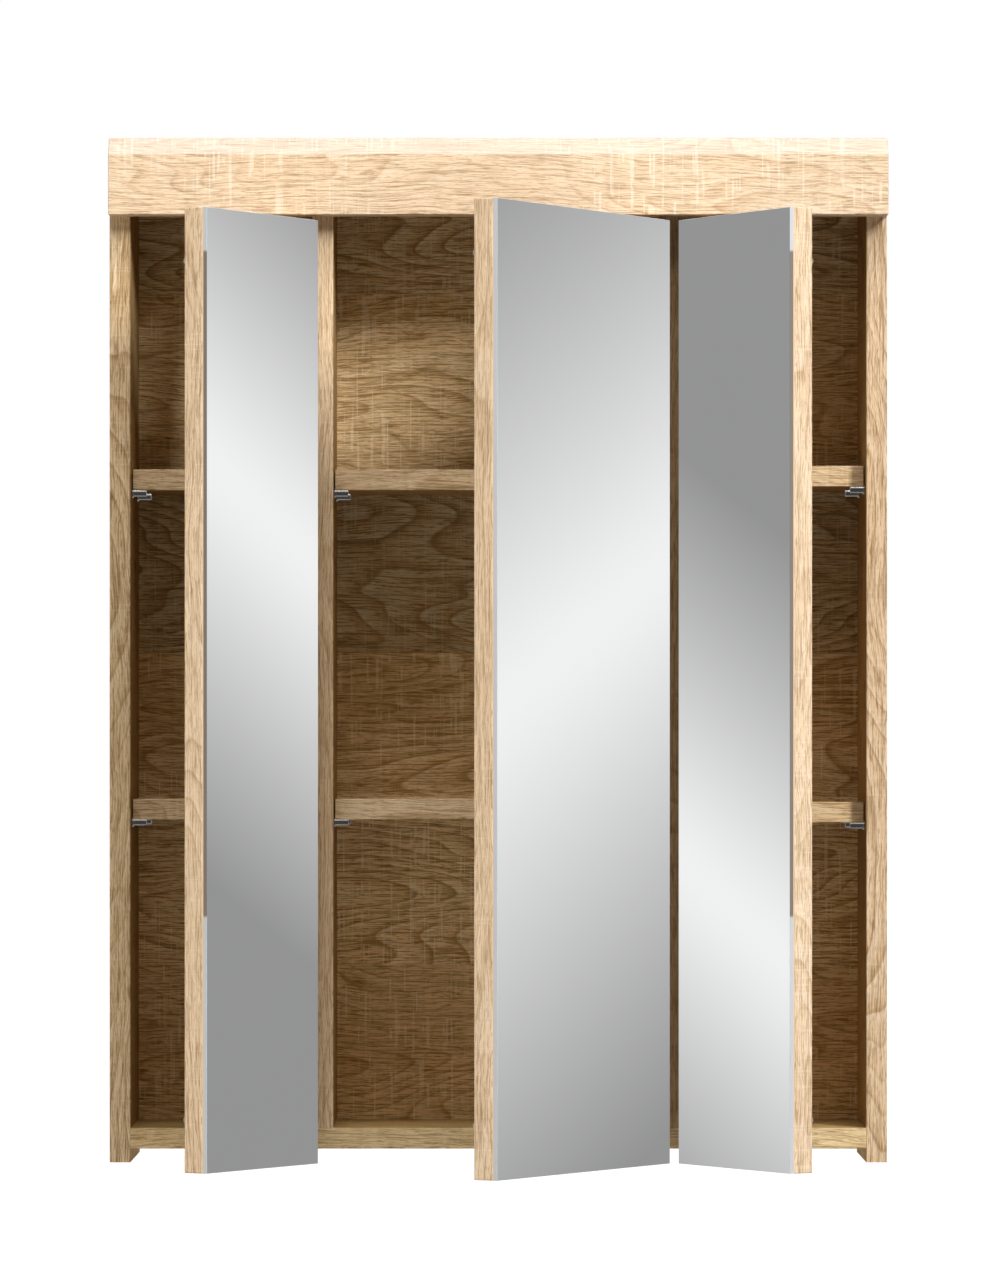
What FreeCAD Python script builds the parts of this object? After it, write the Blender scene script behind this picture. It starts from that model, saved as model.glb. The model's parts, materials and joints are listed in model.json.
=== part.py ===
"""Mirrored wall cabinet: a three-bay carcass with a bevelled crown and three mirror doors on cup hinges.

The cabinet is drawn with X across, Y from the front edges of the carcass towards the wall and Z up from
the feet of the side panels, and is then carried so that the origin lies on the wall, midway between the
two hanger eyes. A door and its hinges are drawn closed in a frame of their own: X runs from the hinge edge
to the free edge, Y out of the room side of the door and Z up from mid-height. Each door is then swung open.
"""
import FreeCAD, Part
import math
import os

import Sketcher
from FreeCAD import Placement, Rotation, Vector

SIZES = {
    # Carcass boards
    "cabinet_width": 600.0,
    "cabinet_height": 790.0,
    "carcass_depth": 150.0,
    "board": 16.0,
    "side_drop": 10.6,
    "bay_split": 135.4,
    "back_gauge": 3.0,
    "back_inset": 12.0,
    "groove_depth": 5.0,
    "panel_fit": 0.2,
    "edge_round": 0.8,
    # Crown across the top front
    "crown_height": 60.0,
    "crown_depth": 22.0,
    "crown_bevel": 13.5,
    "crown_gap": 4.0,
    # Shelves and their supports
    "shelf_recess": 20.0,
    "shelf_play": 1.2,
    "lower_shelf": 264.5,
    "upper_shelf_drop": 254.4,
    "right_lower_shelf": 262.0,
    "right_upper_drop": 251.6,
    "support_front": 12.0,
    "support_rear": 24.0,
    "support_shank": 2.5,
    "support_depth": 7.0,
    "support_collar": 4.0,
    "support_collar_gauge": 1.0,
    "support_nose": 3.0,
    "support_reach": 11.0,
    "support_flat": 1.5,
    # Doors
    "mirror_gauge": 4.0,
    "mirror_arris": 0.5,
    "twin_gap": 4.4,
    "outer_reveal": 1.5,
    "door_standoff": 2.0,
    "door_angle": 60.0,
    "bumper_radius": 2.5,
    "bumper_gauge": 1.7,
    "bumper_edge": 2.9,
    "bumper_inset": 40.0,
    # Hinge linkage, closed, from the door's hinge edge and back face
    "widest_angle": 95.0,
    "main_arm_x": 34.5,
    "main_arm_y": -11.5,
    "main_cup_x": 9.3,
    "main_cup_y": 6.1,
    "main_ratio": -0.36,
    "plate_eye_x": 32.13,
    "plate_eye_y": 0.2,
    "plate_arm_x": 33.5,
    "plate_arm_y": 1.0,
    "plate_cup_x": 12.7,
    "plate_cup_y": 3.3,
    "plate_ratio": -0.652,
    "plate_play": 1.9,
    "hinge_pin": 1.25,
    "running_fit": 0.05,
    "eye_wall": 1.05,
    "knee_over": 1.6,
    "knee_under": 1.9,
    "main_half": 1.5,
    "main_gauge": 5.0,
    "plate_half": 1.2,
    "plate_gauge": 1.5,
    "link_gap": 0.6,
    # Hinge cup
    "hinge_inset": 100.0,
    "cup_edge": 5.0,
    "cup_radius": 17.5,
    "cup_depth": 12.5,
    "cup_wall": 0.8,
    "cup_fit": 0.1,
    "ear_gauge": 1.2,
    "ear_near": 2.0,
    "ear_far": 16.0,
    "ear_low": 10.0,
    "ear_high": 28.0,
    "ear_screw_x": 9.5,
    "ear_screw_z": 22.5,
    # Hinge arm and its mounting plate
    "arm_gauge": 1.5,
    "arm_tip": 2.6,
    "arm_nose": 41.2,
    "arm_seat": 17.0,
    "arm_skirt": 9.0,
    "arm_length": 62.0,
    "foot_gauge": 2.0,
    "foot_width": 22.0,
    "foot_height": 52.0,
    "foot_setback": 37.0,
    "foot_screw_pitch": 32.0,
    "rail_front": 36.0,
    "rail_play": 0.15,
    "arm_screw": 2.0,
    "arm_screw_length": 8.0,
    "arm_screw_head": 3.4,
    "arm_screw_front": 6.0,
    "arm_screw_rear": 7.0,
    # Fasteners
    "hole_fit": 0.1,
    "foot_screw": 2.5,
    "foot_screw_length": 7.0,
    "foot_screw_head": 4.5,
    "cup_screw": 1.75,
    "cup_screw_length": 11.0,
    "cup_screw_head": 3.4,
    "screw_head_gauge": 2.0,
    "recess_reach": 1.7,
    "recess_half": 0.4,
    "recess_depth": 1.2,
    "dowel": 4.0,
    "dowel_length": 30.0,
    "dowel_in_side": 12.0,
    "dowel_front": 60.0,
    "dowel_rear": 84.0,
    "bolt_thread": 2.5,
    "bolt_in_side": 11.0,
    "bolt_shank": 3.0,
    "bolt_bore": 3.4,
    "cam_reach": 24.0,
    "cam_radius": 7.5,
    "cam_depth": 12.5,
    "cam_slot": 6.6,
    "cam_front": 36.0,
    "cam_rear": 108.0,
    "panel_screw_head": 5.0,
    "panel_screw_hex": 2.2,
    "panel_screw_hex_depth": 2.4,
    "panel_screw_head_gauge": 3.0,
    "panel_screw_shank": 3.4,
    "panel_screw_thread": 2.6,
    "panel_screw_length": 50.0,
    "panel_screw_front": 32.0,
    "panel_screw_rear": 104.0,
    # Hangers on the rear edges of the side panels
    "hanger_gauge": 2.0,
    "hanger_drop": 30.0,
    "hanger_tall": 48.0,
    "hanger_reach": 26.0,
    "hanger_margin": 2.0,
    "hanger_eye": 5.0,
    "hanger_eye_inset": 12.0,
    "hanger_screw": 2.0,
    "hanger_screw_head": 3.8,
    "hanger_screw_length": 28.0,
    "hanger_screw_pitch": 30.0,
}

doc = FreeCAD.newDocument("mirror_cabinet")
sheet = doc.addObject("Spreadsheet::Sheet", "dims")
for row, (alias, value) in enumerate(SIZES.items(), start=1):
    sheet.set(f"A{row}", alias)
    sheet.set(f"B{row}", str(value))
    sheet.setAlias(f"B{row}", alias)
doc.recompute()

nodes = []


def mm(alias):
    """Read one size from the sheet."""
    return float(getattr(sheet, alias))


# Expressions that several pieces share
HALF = "dims.cabinet_width / 2"
INNER = "(dims.cabinet_width / 2 - dims.board)"
BACK_FACE = "(dims.carcass_depth - dims.back_inset - dims.back_gauge)"
DEPTH = f"({BACK_FACE} - dims.panel_fit)"
FLOOR = "(dims.side_drop + dims.board)"
CEILING = "(dims.cabinet_height - dims.board)"
SPLIT_OUT = "(dims.bay_split + dims.board / 2)"
SPLIT_IN = "(dims.bay_split - dims.board / 2)"
DOOR_HEIGHT = "(dims.cabinet_height - dims.crown_height - dims.crown_gap)"
SIDE_DOOR = "(dims.cabinet_width / 2 - dims.outer_reveal - dims.bay_split - dims.twin_gap / 2)"
MIDDLE_DOOR = "(2 * dims.bay_split - dims.twin_gap)"
HINGE_LEVEL = f"({DOOR_HEIGHT} / 2 - dims.hinge_inset)"
CUP_CENTRE = "(dims.cup_edge + dims.cup_radius)"
SUPPORT_ROWS = ("(dims.shelf_recess + dims.support_front)", f"({DEPTH} - dims.support_rear)")
DOWEL_ROWS = ("dims.dowel_front", "dims.dowel_rear")
CAM_ROWS = ("dims.cam_front", "dims.cam_rear")
PANEL_SCREW_ROWS = ("dims.panel_screw_front", "dims.panel_screw_rear")
PANEL_MIDDLES = ("(dims.side_drop + dims.board / 2)", "(dims.cabinet_height - dims.board / 2)")
SHELF_LEVELS = ("dims.lower_shelf", f"({CEILING} - dims.upper_shelf_drop)")
RIGHT_SHELF_LEVELS = ("dims.right_lower_shelf", f"({CEILING} - dims.right_upper_drop)")
CROWN_MIDDLE = "(dims.cabinet_height - dims.crown_height / 2)"
HANGER_LEVEL = "(dims.cabinet_height - dims.hanger_drop)"

# The same places as numbers, for the pieces that are placed as copies
HANGER_Z = mm("cabinet_height") - mm("hanger_drop")
HOME = Placement(Vector(0, -mm("carcass_depth") - mm("hanger_gauge"), -HANGER_Z), Rotation())
INNER_X = mm("cabinet_width") / 2 - mm("board")
DEPTH_Y = mm("carcass_depth") - mm("back_inset") - mm("back_gauge") - mm("panel_fit")
DOOR_TALL = mm("cabinet_height") - mm("crown_height") - mm("crown_gap")
HINGE_Z = DOOR_TALL / 2 - mm("hinge_inset")
CUP_X = mm("cup_edge") + mm("cup_radius")
PANEL_Z = (mm("side_drop") + mm("board") / 2, mm("cabinet_height") - mm("board") / 2)


# Places closer than this are the same place
NEAR = 1e-4


# Sketch and feature helpers

def pin_point(sketch, geometry, corner, place):
    """Tie one sketch point to an X and a Y expression."""
    for kind, axis, expression in (("DistanceX", -2, place[0]), ("DistanceY", -1, place[1])):
        if expression == "0":
            sketch.addConstraint(Sketcher.Constraint("PointOnObject", geometry, corner, axis))
        else:
            index = sketch.addConstraint(Sketcher.Constraint(kind, -1, 1, geometry, corner, 10.0))
            sketch.setExpression(f"Constraints[{index}]", expression)


def outline(sketch, points):
    """Draw a closed outline of straight lines through points given as expressions."""
    count = len(points)
    ring = [Rotation(Vector(0, 0, 1), 360 * k / count).multVec(Vector(10, 0, 0)) for k in range(count)]
    for k in range(count):
        sketch.addGeometry(Part.LineSegment(ring[k], ring[(k + 1) % count]), False)
    for k in range(count):
        sketch.addConstraint(Sketcher.Constraint("Coincident", k, 2, (k + 1) % count, 1))
        pin_point(sketch, k, 1, points[k])


def circles(sketch, holes):
    """Draw circles given as X, Y and radius expressions."""
    for k, (x, y, radius) in enumerate(holes):
        sketch.addGeometry(Part.Circle(Vector(25 * k, 0, 0), Vector(0, 0, 1), 2), False)
        pin_point(sketch, k, 3, (x, y))
        index = sketch.addConstraint(Sketcher.Constraint("Radius", k, 2.0))
        sketch.setExpression(f"Constraints[{index}]", radius)


def rectangle(x0, y0, x1, y1):
    """Corners of an upright rectangle."""
    return [(x0, y0), (x1, y0), (x1, y1), (x0, y1)]


def sketch_on(body, role, offset):
    """Lay a sketch on one of the body's own origin planes, moved along the plane's normal."""
    plane = next(feature for feature in body.Origin.OriginFeatures if feature.Role == role)
    sketch = body.newObject("Sketcher::SketchObject", f"{body.Name}_sketch")
    sketch.AttachmentSupport = [(plane, "")]
    sketch.MapMode = "FlatFace"
    sketch.setExpression("AttachmentOffset.Base.z", offset)
    return sketch


def pad(body, role, offset, points, length, reverse=False):
    """Raise an outline into a solid."""
    sketch = sketch_on(body, role, offset)
    outline(sketch, points)
    feature = body.newObject("PartDesign::Pad", f"{body.Name}_pad")
    feature.Profile = sketch
    feature.setExpression("Length", length)
    feature.Reversed = reverse


def sink(body, sketch, depth, reverse):
    """Cut a sketch into the body and make sure that it took material away."""
    doc.recompute()
    before = body.Shape.Volume
    feature = body.newObject("PartDesign::Pocket", f"{body.Name}_pocket")
    feature.Profile = sketch
    feature.setExpression("Length", depth)
    feature.Reversed = reverse
    doc.recompute()
    if body.Shape.Volume >= before:
        raise ValueError(f"{body.Label}: a cut points away from the solid")


def drill(body, role, offset, holes, depth, reverse=False):
    """Bore round holes of one depth."""
    sketch = sketch_on(body, role, offset)
    circles(sketch, holes)
    sink(body, sketch, depth, reverse)


def rout(body, role, offset, points, depth, reverse=False):
    """Cut a straight-sided recess."""
    sketch = sketch_on(body, role, offset)
    outline(sketch, points)
    sink(body, sketch, depth, reverse)


def straight_edges(body, chosen):
    """Names of the body's straight edges whose bounding box is chosen."""
    doc.recompute()
    return [f"Edge{k}" for k, edge in enumerate(body.Tip.Shape.Edges, start=1)
            if edge.Curve.TypeId == "Part::GeomLine" and chosen(edge.BoundBox)]


def ease(body, chosen):
    """Round the chosen edges a little, as edge banding is."""
    names = straight_edges(body, chosen)
    base = body.Tip
    feature = body.newObject("PartDesign::Fillet", f"{body.Name}_ease")
    feature.Base = (base, names)
    feature.setExpression("Radius", "dims.edge_round")


def ease_front(body):
    """Round the long front edges of a board."""
    doc.recompute()
    front = body.Tip.Shape.BoundBox.YMin
    ease(body, lambda box: box.YMax < front + NEAR and box.DiagonalLength > 4 * mm("board"))


def new_body(label, node=True):
    """Start a piece, carried home with the cabinet where it is a node."""
    body = doc.addObject("PartDesign::Body", label)
    body.Label = label
    if node:
        body.setExpression("Placement.Base.y", "-dims.carcass_depth - dims.hanger_gauge")
        body.setExpression("Placement.Base.z", f"-{HANGER_LEVEL}")
        nodes.append(body)
    return body


def turned(label, profile):
    """Turn a half profile of radius and height about the vertical axis: a pattern for fasteners."""
    body = new_body(label, node=False)
    sketch = sketch_on(body, "XZ_Plane", "0")
    outline(sketch, profile)
    feature = body.newObject("PartDesign::Revolution", f"{label}_turn")
    feature.Profile = sketch
    feature.ReferenceAxis = (sketch, ["V_Axis"])
    feature.Angle = 360.0
    return body


def copies(label, shapes, places, carry):
    """Make one node of the shapes at each of the places, carried together."""
    solids = []
    for place in places:
        for shape in shapes:
            solid = shape.copy()
            solid.Placement = place.multiply(solid.Placement)
            solids.append(solid)
    feature = doc.addObject("Part::Feature", label)
    feature.Label = label
    feature.Shape = Part.makeCompound(solids)
    feature.Placement = carry
    nodes.append(feature)


def facing(direction, place):
    """Placement that turns a fastener's head from +Z to a direction, at a place."""
    return Placement(Vector(*place), Rotation(Vector(0, 0, 1), Vector(*direction)))


# Carcass boards

def side_panel(label, hand):
    """One side: groove for the back, bores for shelves, dowels, cam bolts, hanger and crown."""
    body = new_body(label)
    inner = f"{hand} * {INNER}"
    outward = hand > 0
    outer_shape = rectangle("0", "0", "dims.carcass_depth", "dims.cabinet_height")
    pad(body, "YZ_Plane", inner, outer_shape, "dims.board", reverse=not outward)
    groove = rectangle(f"{BACK_FACE} - dims.panel_fit", "dims.side_drop",
                       f"{BACK_FACE} + dims.back_gauge + dims.panel_fit", "dims.cabinet_height")
    rout(body, "YZ_Plane", inner, groove, "dims.groove_depth + dims.panel_fit", reverse=outward)
    levels = RIGHT_SHELF_LEVELS if outward else SHELF_LEVELS
    supports = [(y, f"{z} - dims.support_flat", "dims.support_shank + dims.running_fit")
                for y in SUPPORT_ROWS for z in levels]
    drill(body, "YZ_Plane", inner, supports, "dims.support_depth + dims.hole_fit", reverse=outward)
    dowels = [(y, z, "dims.dowel + dims.hole_fit") for y in DOWEL_ROWS for z in PANEL_MIDDLES]
    drill(body, "YZ_Plane", inner, dowels, "dims.dowel_in_side + dims.hole_fit", reverse=outward)
    bolts = [(y, z, "dims.bolt_thread + dims.running_fit") for y in CAM_ROWS for z in PANEL_MIDDLES]
    drill(body, "YZ_Plane", inner, bolts, "dims.bolt_in_side + dims.hole_fit", reverse=outward)
    middle = f"{hand} * (dims.cabinet_width / 2 - dims.board / 2)"
    drill(body, "XZ_Plane", "0", [(middle, CROWN_MIDDLE, "dims.dowel + dims.hole_fit")],
          "dims.dowel_length - dims.dowel_in_side + dims.hole_fit")
    screws = [(middle, f"{HANGER_LEVEL} {sign} dims.hanger_screw_pitch / 2",
               "dims.hanger_screw + dims.running_fit") for sign in "+-"]
    drill(body, "XZ_Plane", "-dims.carcass_depth", screws, "dims.hanger_screw_length + dims.hole_fit",
          reverse=True)
    ease_front(body)


def cross_panel(label, low, outer, inward):
    """Top or bottom panel: cam pockets and screws from its outer face, dowels and bolts at its ends."""
    body = new_body(label)
    pad(body, "XY_Plane", low, rectangle(f"-{INNER}", "0", INNER, DEPTH), "dims.board")
    cams = [(f"{hand} * ({INNER} - dims.cam_reach)", y, "dims.cam_radius + dims.hole_fit")
            for hand in (-1, 1) for y in CAM_ROWS]
    drill(body, "XY_Plane", outer, cams, "dims.cam_depth + dims.hole_fit", reverse=inward)
    heads = [(f"{hand} * dims.bay_split", y, "dims.panel_screw_head + dims.hole_fit")
             for hand in (-1, 1) for y in PANEL_SCREW_ROWS]
    drill(body, "XY_Plane", outer, heads, "dims.panel_screw_head_gauge + dims.hole_fit", reverse=inward)
    shanks = [(f"{hand} * dims.bay_split", y, "dims.panel_screw_shank + dims.hole_fit")
              for hand in (-1, 1) for y in PANEL_SCREW_ROWS]
    drill(body, "XY_Plane", outer, shanks, "dims.board", reverse=inward)
    middle = f"{low} + dims.board / 2"
    for hand in (-1, 1):
        end = f"{hand} * {INNER}"
        dowels = [(y, middle, "dims.dowel + dims.hole_fit") for y in DOWEL_ROWS]
        drill(body, "YZ_Plane", end, dowels, "dims.dowel_length - dims.dowel_in_side + dims.hole_fit",
              reverse=hand < 0)
        bolts = [(y, middle, "dims.bolt_bore") for y in CAM_ROWS]
        drill(body, "YZ_Plane", end, bolts, "dims.cam_reach", reverse=hand < 0)
    ease_front(body)


def partition(label, hand, hinge_faces):
    """Upright between two bays: bores for shelves on both faces, hinge feet on the faces named."""
    body = new_body(label)
    left_face = f"({hand} * dims.bay_split - dims.board / 2)"
    right_face = f"({hand} * dims.bay_split + dims.board / 2)"
    pad(body, "YZ_Plane", left_face, rectangle("0", FLOOR, DEPTH, CEILING), "dims.board")
    for face, side in ((left_face, -1), (right_face, 1)):
        levels = RIGHT_SHELF_LEVELS if hand > 0 and side > 0 else SHELF_LEVELS
        supports = [(y, f"{z} - dims.support_flat", "dims.support_shank + dims.running_fit")
                    for y in SUPPORT_ROWS for z in levels]
        drill(body, "YZ_Plane", face, supports, "dims.support_depth + dims.hole_fit", reverse=side < 0)
        if side in hinge_faces:
            feet = [("dims.foot_setback",
                     f"{DOOR_HEIGHT} / 2 + {level} * {HINGE_LEVEL} + {row} * dims.foot_screw_pitch / 2",
                     "dims.foot_screw + dims.running_fit") for level in (-1, 1) for row in (-1, 1)]
            drill(body, "YZ_Plane", face, feet, "dims.foot_screw_length + dims.hole_fit", reverse=side < 0)
    for edge, reverse in ((FLOOR, True), (CEILING, False)):
        screws = [(f"{hand} * dims.bay_split", y, "dims.panel_screw_thread + dims.running_fit")
                  for y in PANEL_SCREW_ROWS]
        drill(body, "XY_Plane", edge, screws, "dims.panel_screw_length - dims.board + dims.hole_fit",
              reverse=reverse)
    drill(body, "XZ_Plane", "0", [(f"{hand} * dims.bay_split", CROWN_MIDDLE, "dims.dowel + dims.hole_fit")],
          "dims.dowel_length - dims.dowel_in_side + dims.hole_fit")
    ease_front(body)


def crown():
    """Thick board across the front of the carcass, bevelled along its top front edge."""
    body = new_body("crown_fascia")
    profile = [("0", "dims.cabinet_height - dims.crown_height"), ("0", "dims.cabinet_height"),
               ("dims.crown_bevel - dims.crown_depth", "dims.cabinet_height"),
               ("-dims.crown_depth", "dims.cabinet_height - dims.crown_bevel"),
               ("-dims.crown_depth", "dims.cabinet_height - dims.crown_height")]
    pad(body, "YZ_Plane", f"-{HALF}", profile, "dims.cabinet_width")
    places = ("-(dims.cabinet_width - dims.board) / 2", "-dims.bay_split", "dims.bay_split",
              "(dims.cabinet_width - dims.board) / 2")
    holes = [(x, CROWN_MIDDLE, "dims.dowel + dims.hole_fit") for x in places]
    drill(body, "XZ_Plane", "0", holes, "dims.dowel_in_side + dims.hole_fit", reverse=True)
    ease(body, lambda box: box.YMin < -NEAR)


def shelf(label, left, right, level):
    """Loose shelf between two uprights, a little short at both ends."""
    body = new_body(label)
    corners = rectangle(f"{left} + dims.shelf_play", "dims.shelf_recess", f"{right} - dims.shelf_play",
                        f"{DEPTH} - dims.panel_fit")
    pad(body, "XY_Plane", level, corners, "dims.board")
    ease_front(body)


side_panel("left_side_panel", -1)
side_panel("right_side_panel", 1)
cross_panel("top_panel", CEILING, "dims.cabinet_height", False)
cross_panel("bottom_panel", "dims.side_drop", "dims.side_drop", True)
partition("left_partition", -1, (-1,))
partition("right_partition", 1, (-1, 1))
crown()

back = new_body("back_panel")
pad(back, "XZ_Plane", f"-{BACK_FACE}", rectangle(f"-{INNER} - dims.groove_depth", "dims.side_drop",
                                                 f"{INNER} + dims.groove_depth", "dims.cabinet_height"),
    "dims.back_gauge", reverse=True)

BAYS = (
    ("left", f"-{INNER}", f"-{SPLIT_OUT}", SHELF_LEVELS),
    ("middle", f"-{SPLIT_IN}", SPLIT_IN, SHELF_LEVELS),
    ("right", SPLIT_OUT, INNER, RIGHT_SHELF_LEVELS),
)
for bay, bay_left, bay_right, bay_levels in BAYS:
    for tier, bay_level in zip(("lower", "upper"), bay_levels):
        shelf(f"{bay}_{tier}_shelf", bay_left, bay_right, bay_level)


# Carcass fasteners

support = turned("support_pattern", [
    ("0", "-dims.support_depth"), ("dims.support_shank", "-dims.support_depth"), ("dims.support_shank", "0"),
    ("dims.support_collar", "0"), ("dims.support_collar", "dims.support_collar_gauge"),
    ("dims.support_nose", "dims.support_collar_gauge"), ("dims.support_nose", "dims.support_reach"),
    ("0", "dims.support_reach")])
rout(support, "XY_Plane", "0", rectangle("-dims.support_collar", "dims.support_flat", "dims.support_collar",
                                         "2 * dims.support_collar"), "dims.support_reach", reverse=True)

dowel = turned("dowel_pattern", rectangle("0", "-dims.dowel_in_side", "dims.dowel",
                                          "dims.dowel_length - dims.dowel_in_side"))
bolt = turned("bolt_pattern", [
    ("0", "-dims.bolt_in_side"), ("dims.bolt_thread", "-dims.bolt_in_side"), ("dims.bolt_thread", "0"),
    ("dims.bolt_shank", "0"), ("dims.bolt_shank", "dims.cam_reach"), ("0", "dims.cam_reach")])
cam = turned("cam_pattern", rectangle("0", "-dims.cam_depth", "dims.cam_radius", "0"))
cam_mouth = rectangle("-dims.cam_slot / 2", "-dims.board / 2 - dims.cam_slot / 2",
                      "dims.cam_slot / 2", "-dims.board / 2 + dims.cam_slot / 2")
rout(cam, "XZ_Plane", "-dims.cam_radius", cam_mouth, "dims.cam_radius + dims.bolt_shank", reverse=True)
panel_screw = turned("panel_screw_pattern", [
    ("0", "0"), ("dims.panel_screw_head", "0"), ("dims.panel_screw_head", "-dims.panel_screw_head_gauge"),
    ("dims.panel_screw_shank", "-dims.panel_screw_head_gauge"), ("dims.panel_screw_shank", "-dims.board"),
    ("dims.panel_screw_thread", "-dims.board"), ("dims.panel_screw_thread", "-dims.panel_screw_length"),
    ("0", "-dims.panel_screw_length")])


def cross_recess(body, level):
    """Cross for a driver, cut down from a level."""
    reach, half = "dims.recess_reach", "dims.recess_half"
    quarter = [(reach, f"-{half}"), (reach, half), (half, half)]
    points = []
    for step in range(4):
        points += quarter
        quarter = [(f"-1 * ({y})", x) for x, y in quarter]
    rout(body, "XY_Plane", level, points, "dims.recess_depth")


def pan_screw(label, shank, length, head):
    """Pattern of a screw whose domed head stands on its seat."""
    shoulder = f"({head} - dims.screw_head_gauge / 2)"
    body = turned(label, [("0", f"-{length}"), (shank, f"-{length}"), (shank, "0"), (head, "0"),
                          (head, "dims.screw_head_gauge / 2"), (shoulder, "dims.screw_head_gauge"),
                          ("0", "dims.screw_head_gauge")])
    cross_recess(body, "dims.screw_head_gauge")
    return body


cross_recess(cam, "0")
hexagon = [(f"dims.panel_screw_hex * cos({60 * k} deg)", f"dims.panel_screw_hex * sin({60 * k} deg)")
           for k in range(6)]
rout(panel_screw, "XY_Plane", "0", hexagon, "dims.panel_screw_hex_depth")
foot_screw = pan_screw("foot_screw_pattern", "dims.foot_screw", "(dims.foot_screw_length + dims.foot_gauge)",
                       "dims.foot_screw_head")
cup_screw = pan_screw("cup_screw_pattern", "dims.cup_screw", "(dims.cup_screw_length + dims.ear_gauge)",
                      "dims.cup_screw_head")
arm_screw = pan_screw("arm_screw_pattern", "dims.arm_screw", "(dims.arm_screw_length + dims.arm_gauge)",
                      "dims.arm_screw_head")
hanger_screw = pan_screw("hanger_screw_pattern", "dims.hanger_screw",
                         "(dims.hanger_screw_length - dims.hanger_gauge)", "dims.hanger_screw_head")
bumper = turned("bumper_pattern", [
    ("0", "0"), ("dims.bumper_radius", "0"), ("dims.bumper_radius", "dims.bumper_gauge / 2"),
    ("dims.bumper_radius - dims.bumper_gauge / 2", "dims.bumper_gauge"), ("0", "dims.bumper_gauge")])
doc.recompute()

SUPPORT_Y = (mm("shelf_recess") + mm("support_front"), DEPTH_Y - mm("support_rear"))
SPLIT_X = mm("bay_split")
HALF_BOARD = mm("board") / 2
CEILING_Z = mm("cabinet_height") - mm("board")
SHELF_Z = (mm("lower_shelf"), CEILING_Z - mm("upper_shelf_drop"))
RIGHT_SHELF_Z = (mm("right_lower_shelf"), CEILING_Z - mm("right_upper_drop"))
BAY_WALLS = {
    "left": (-INNER_X, -SPLIT_X - HALF_BOARD, SHELF_Z),
    "middle": (-SPLIT_X + HALF_BOARD, SPLIT_X - HALF_BOARD, SHELF_Z),
    "right": (SPLIT_X + HALF_BOARD, INNER_X, RIGHT_SHELF_Z),
}


def support_place(wall, direction, y, level):
    """A support in the wall of a bay, with its flat side up under the shelf."""
    flat_up = Rotation(Vector(0, direction, 0), Vector(0, 0, 1), Vector(direction, 0, 0), "XYZ")
    return Placement(Vector(wall, y, level - mm("support_flat")), flat_up)


for bay, (wall_left, wall_right, tiers) in BAY_WALLS.items():
    places = [support_place(wall, direction, y, tier_z) for tier_z in tiers for y in SUPPORT_Y
              for wall, direction in ((wall_left, 1), (wall_right, -1))]
    copies(f"{bay}_shelf_supports", [support.Shape], places, HOME)

side_ends = [(hand, z) for hand in (-1, 1) for z in PANEL_Z]
copies("carcass_dowels", [dowel.Shape],
       [facing((-hand, 0, 0), (hand * INNER_X, mm(y), z)) for hand, z in side_ends
        for y in ("dowel_front", "dowel_rear")], HOME)
copies("cam_bolts", [bolt.Shape],
       [facing((-hand, 0, 0), (hand * INNER_X, mm(y), z)) for hand, z in side_ends
        for y in ("cam_front", "cam_rear")], HOME)
cam_places = []
for hand in (-1, 1):
    for y in ("cam_front", "cam_rear"):
        centre = Vector(hand * (INNER_X - mm("cam_reach")), mm(y), 0)
        above = centre + Vector(0, 0, mm("cabinet_height"))
        below = centre + Vector(0, 0, mm("side_drop"))
        slot_out = Rotation(Vector(0, 0, 1), -90 * hand)
        cam_places.append(Placement(above, slot_out))
        cam_places.append(Placement(below, Rotation(Vector(1, 0, 0), 180).multiply(slot_out)))
copies("cam_locks", [cam.Shape], cam_places, HOME)
copies("panel_screws", [panel_screw.Shape],
       [facing((0, 0, up), (hand * SPLIT_X, mm(y), z)) for hand in (-1, 1)
        for y in ("panel_screw_front", "panel_screw_rear")
        for up, z in ((1, mm("cabinet_height")), (-1, mm("side_drop")))], HOME)
crown_x = (INNER_X + HALF_BOARD, SPLIT_X)
copies("crown_dowels", [dowel.Shape],
       [facing((0, 1, 0), (hand * x, 0, mm("cabinet_height") - mm("crown_height") / 2))
        for x in crown_x for hand in (-1, 1)], HOME)


# Wall hangers

def hanger(label, hand):
    """Flat steel plate on the rear edge of a side panel, with an eye that reaches into the recess."""
    body = new_body(label)
    outer = f"{hand} * ({HALF} - dims.hanger_margin)"
    inner = f"{hand} * ({INNER} - dims.hanger_reach)"
    low = f"{HANGER_LEVEL} - dims.hanger_tall / 2"
    high = f"{HANGER_LEVEL} + dims.hanger_tall / 2"
    corner = f"{hand} * ({INNER} - dims.hanger_reach + dims.hanger_eye_inset)"
    points = [(outer, low), (outer, high), (corner, high), (inner, f"{high} - dims.hanger_eye_inset"),
              (inner, f"{low} + dims.hanger_eye_inset"), (corner, low)]
    pad(body, "XZ_Plane", "-dims.carcass_depth", points, "dims.hanger_gauge", reverse=True)
    eye = [(f"{hand} * ({INNER} - dims.hanger_eye_inset)", HANGER_LEVEL, "dims.hanger_eye")]
    screws = [(f"{hand} * (dims.cabinet_width - dims.board) / 2",
               f"{HANGER_LEVEL} {sign} dims.hanger_screw_pitch / 2",
               "dims.hanger_screw + dims.running_fit") for sign in "+-"]
    drill(body, "XZ_Plane", "-dims.carcass_depth - dims.hanger_gauge", eye + screws, "dims.hanger_gauge",
          reverse=True)


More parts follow.
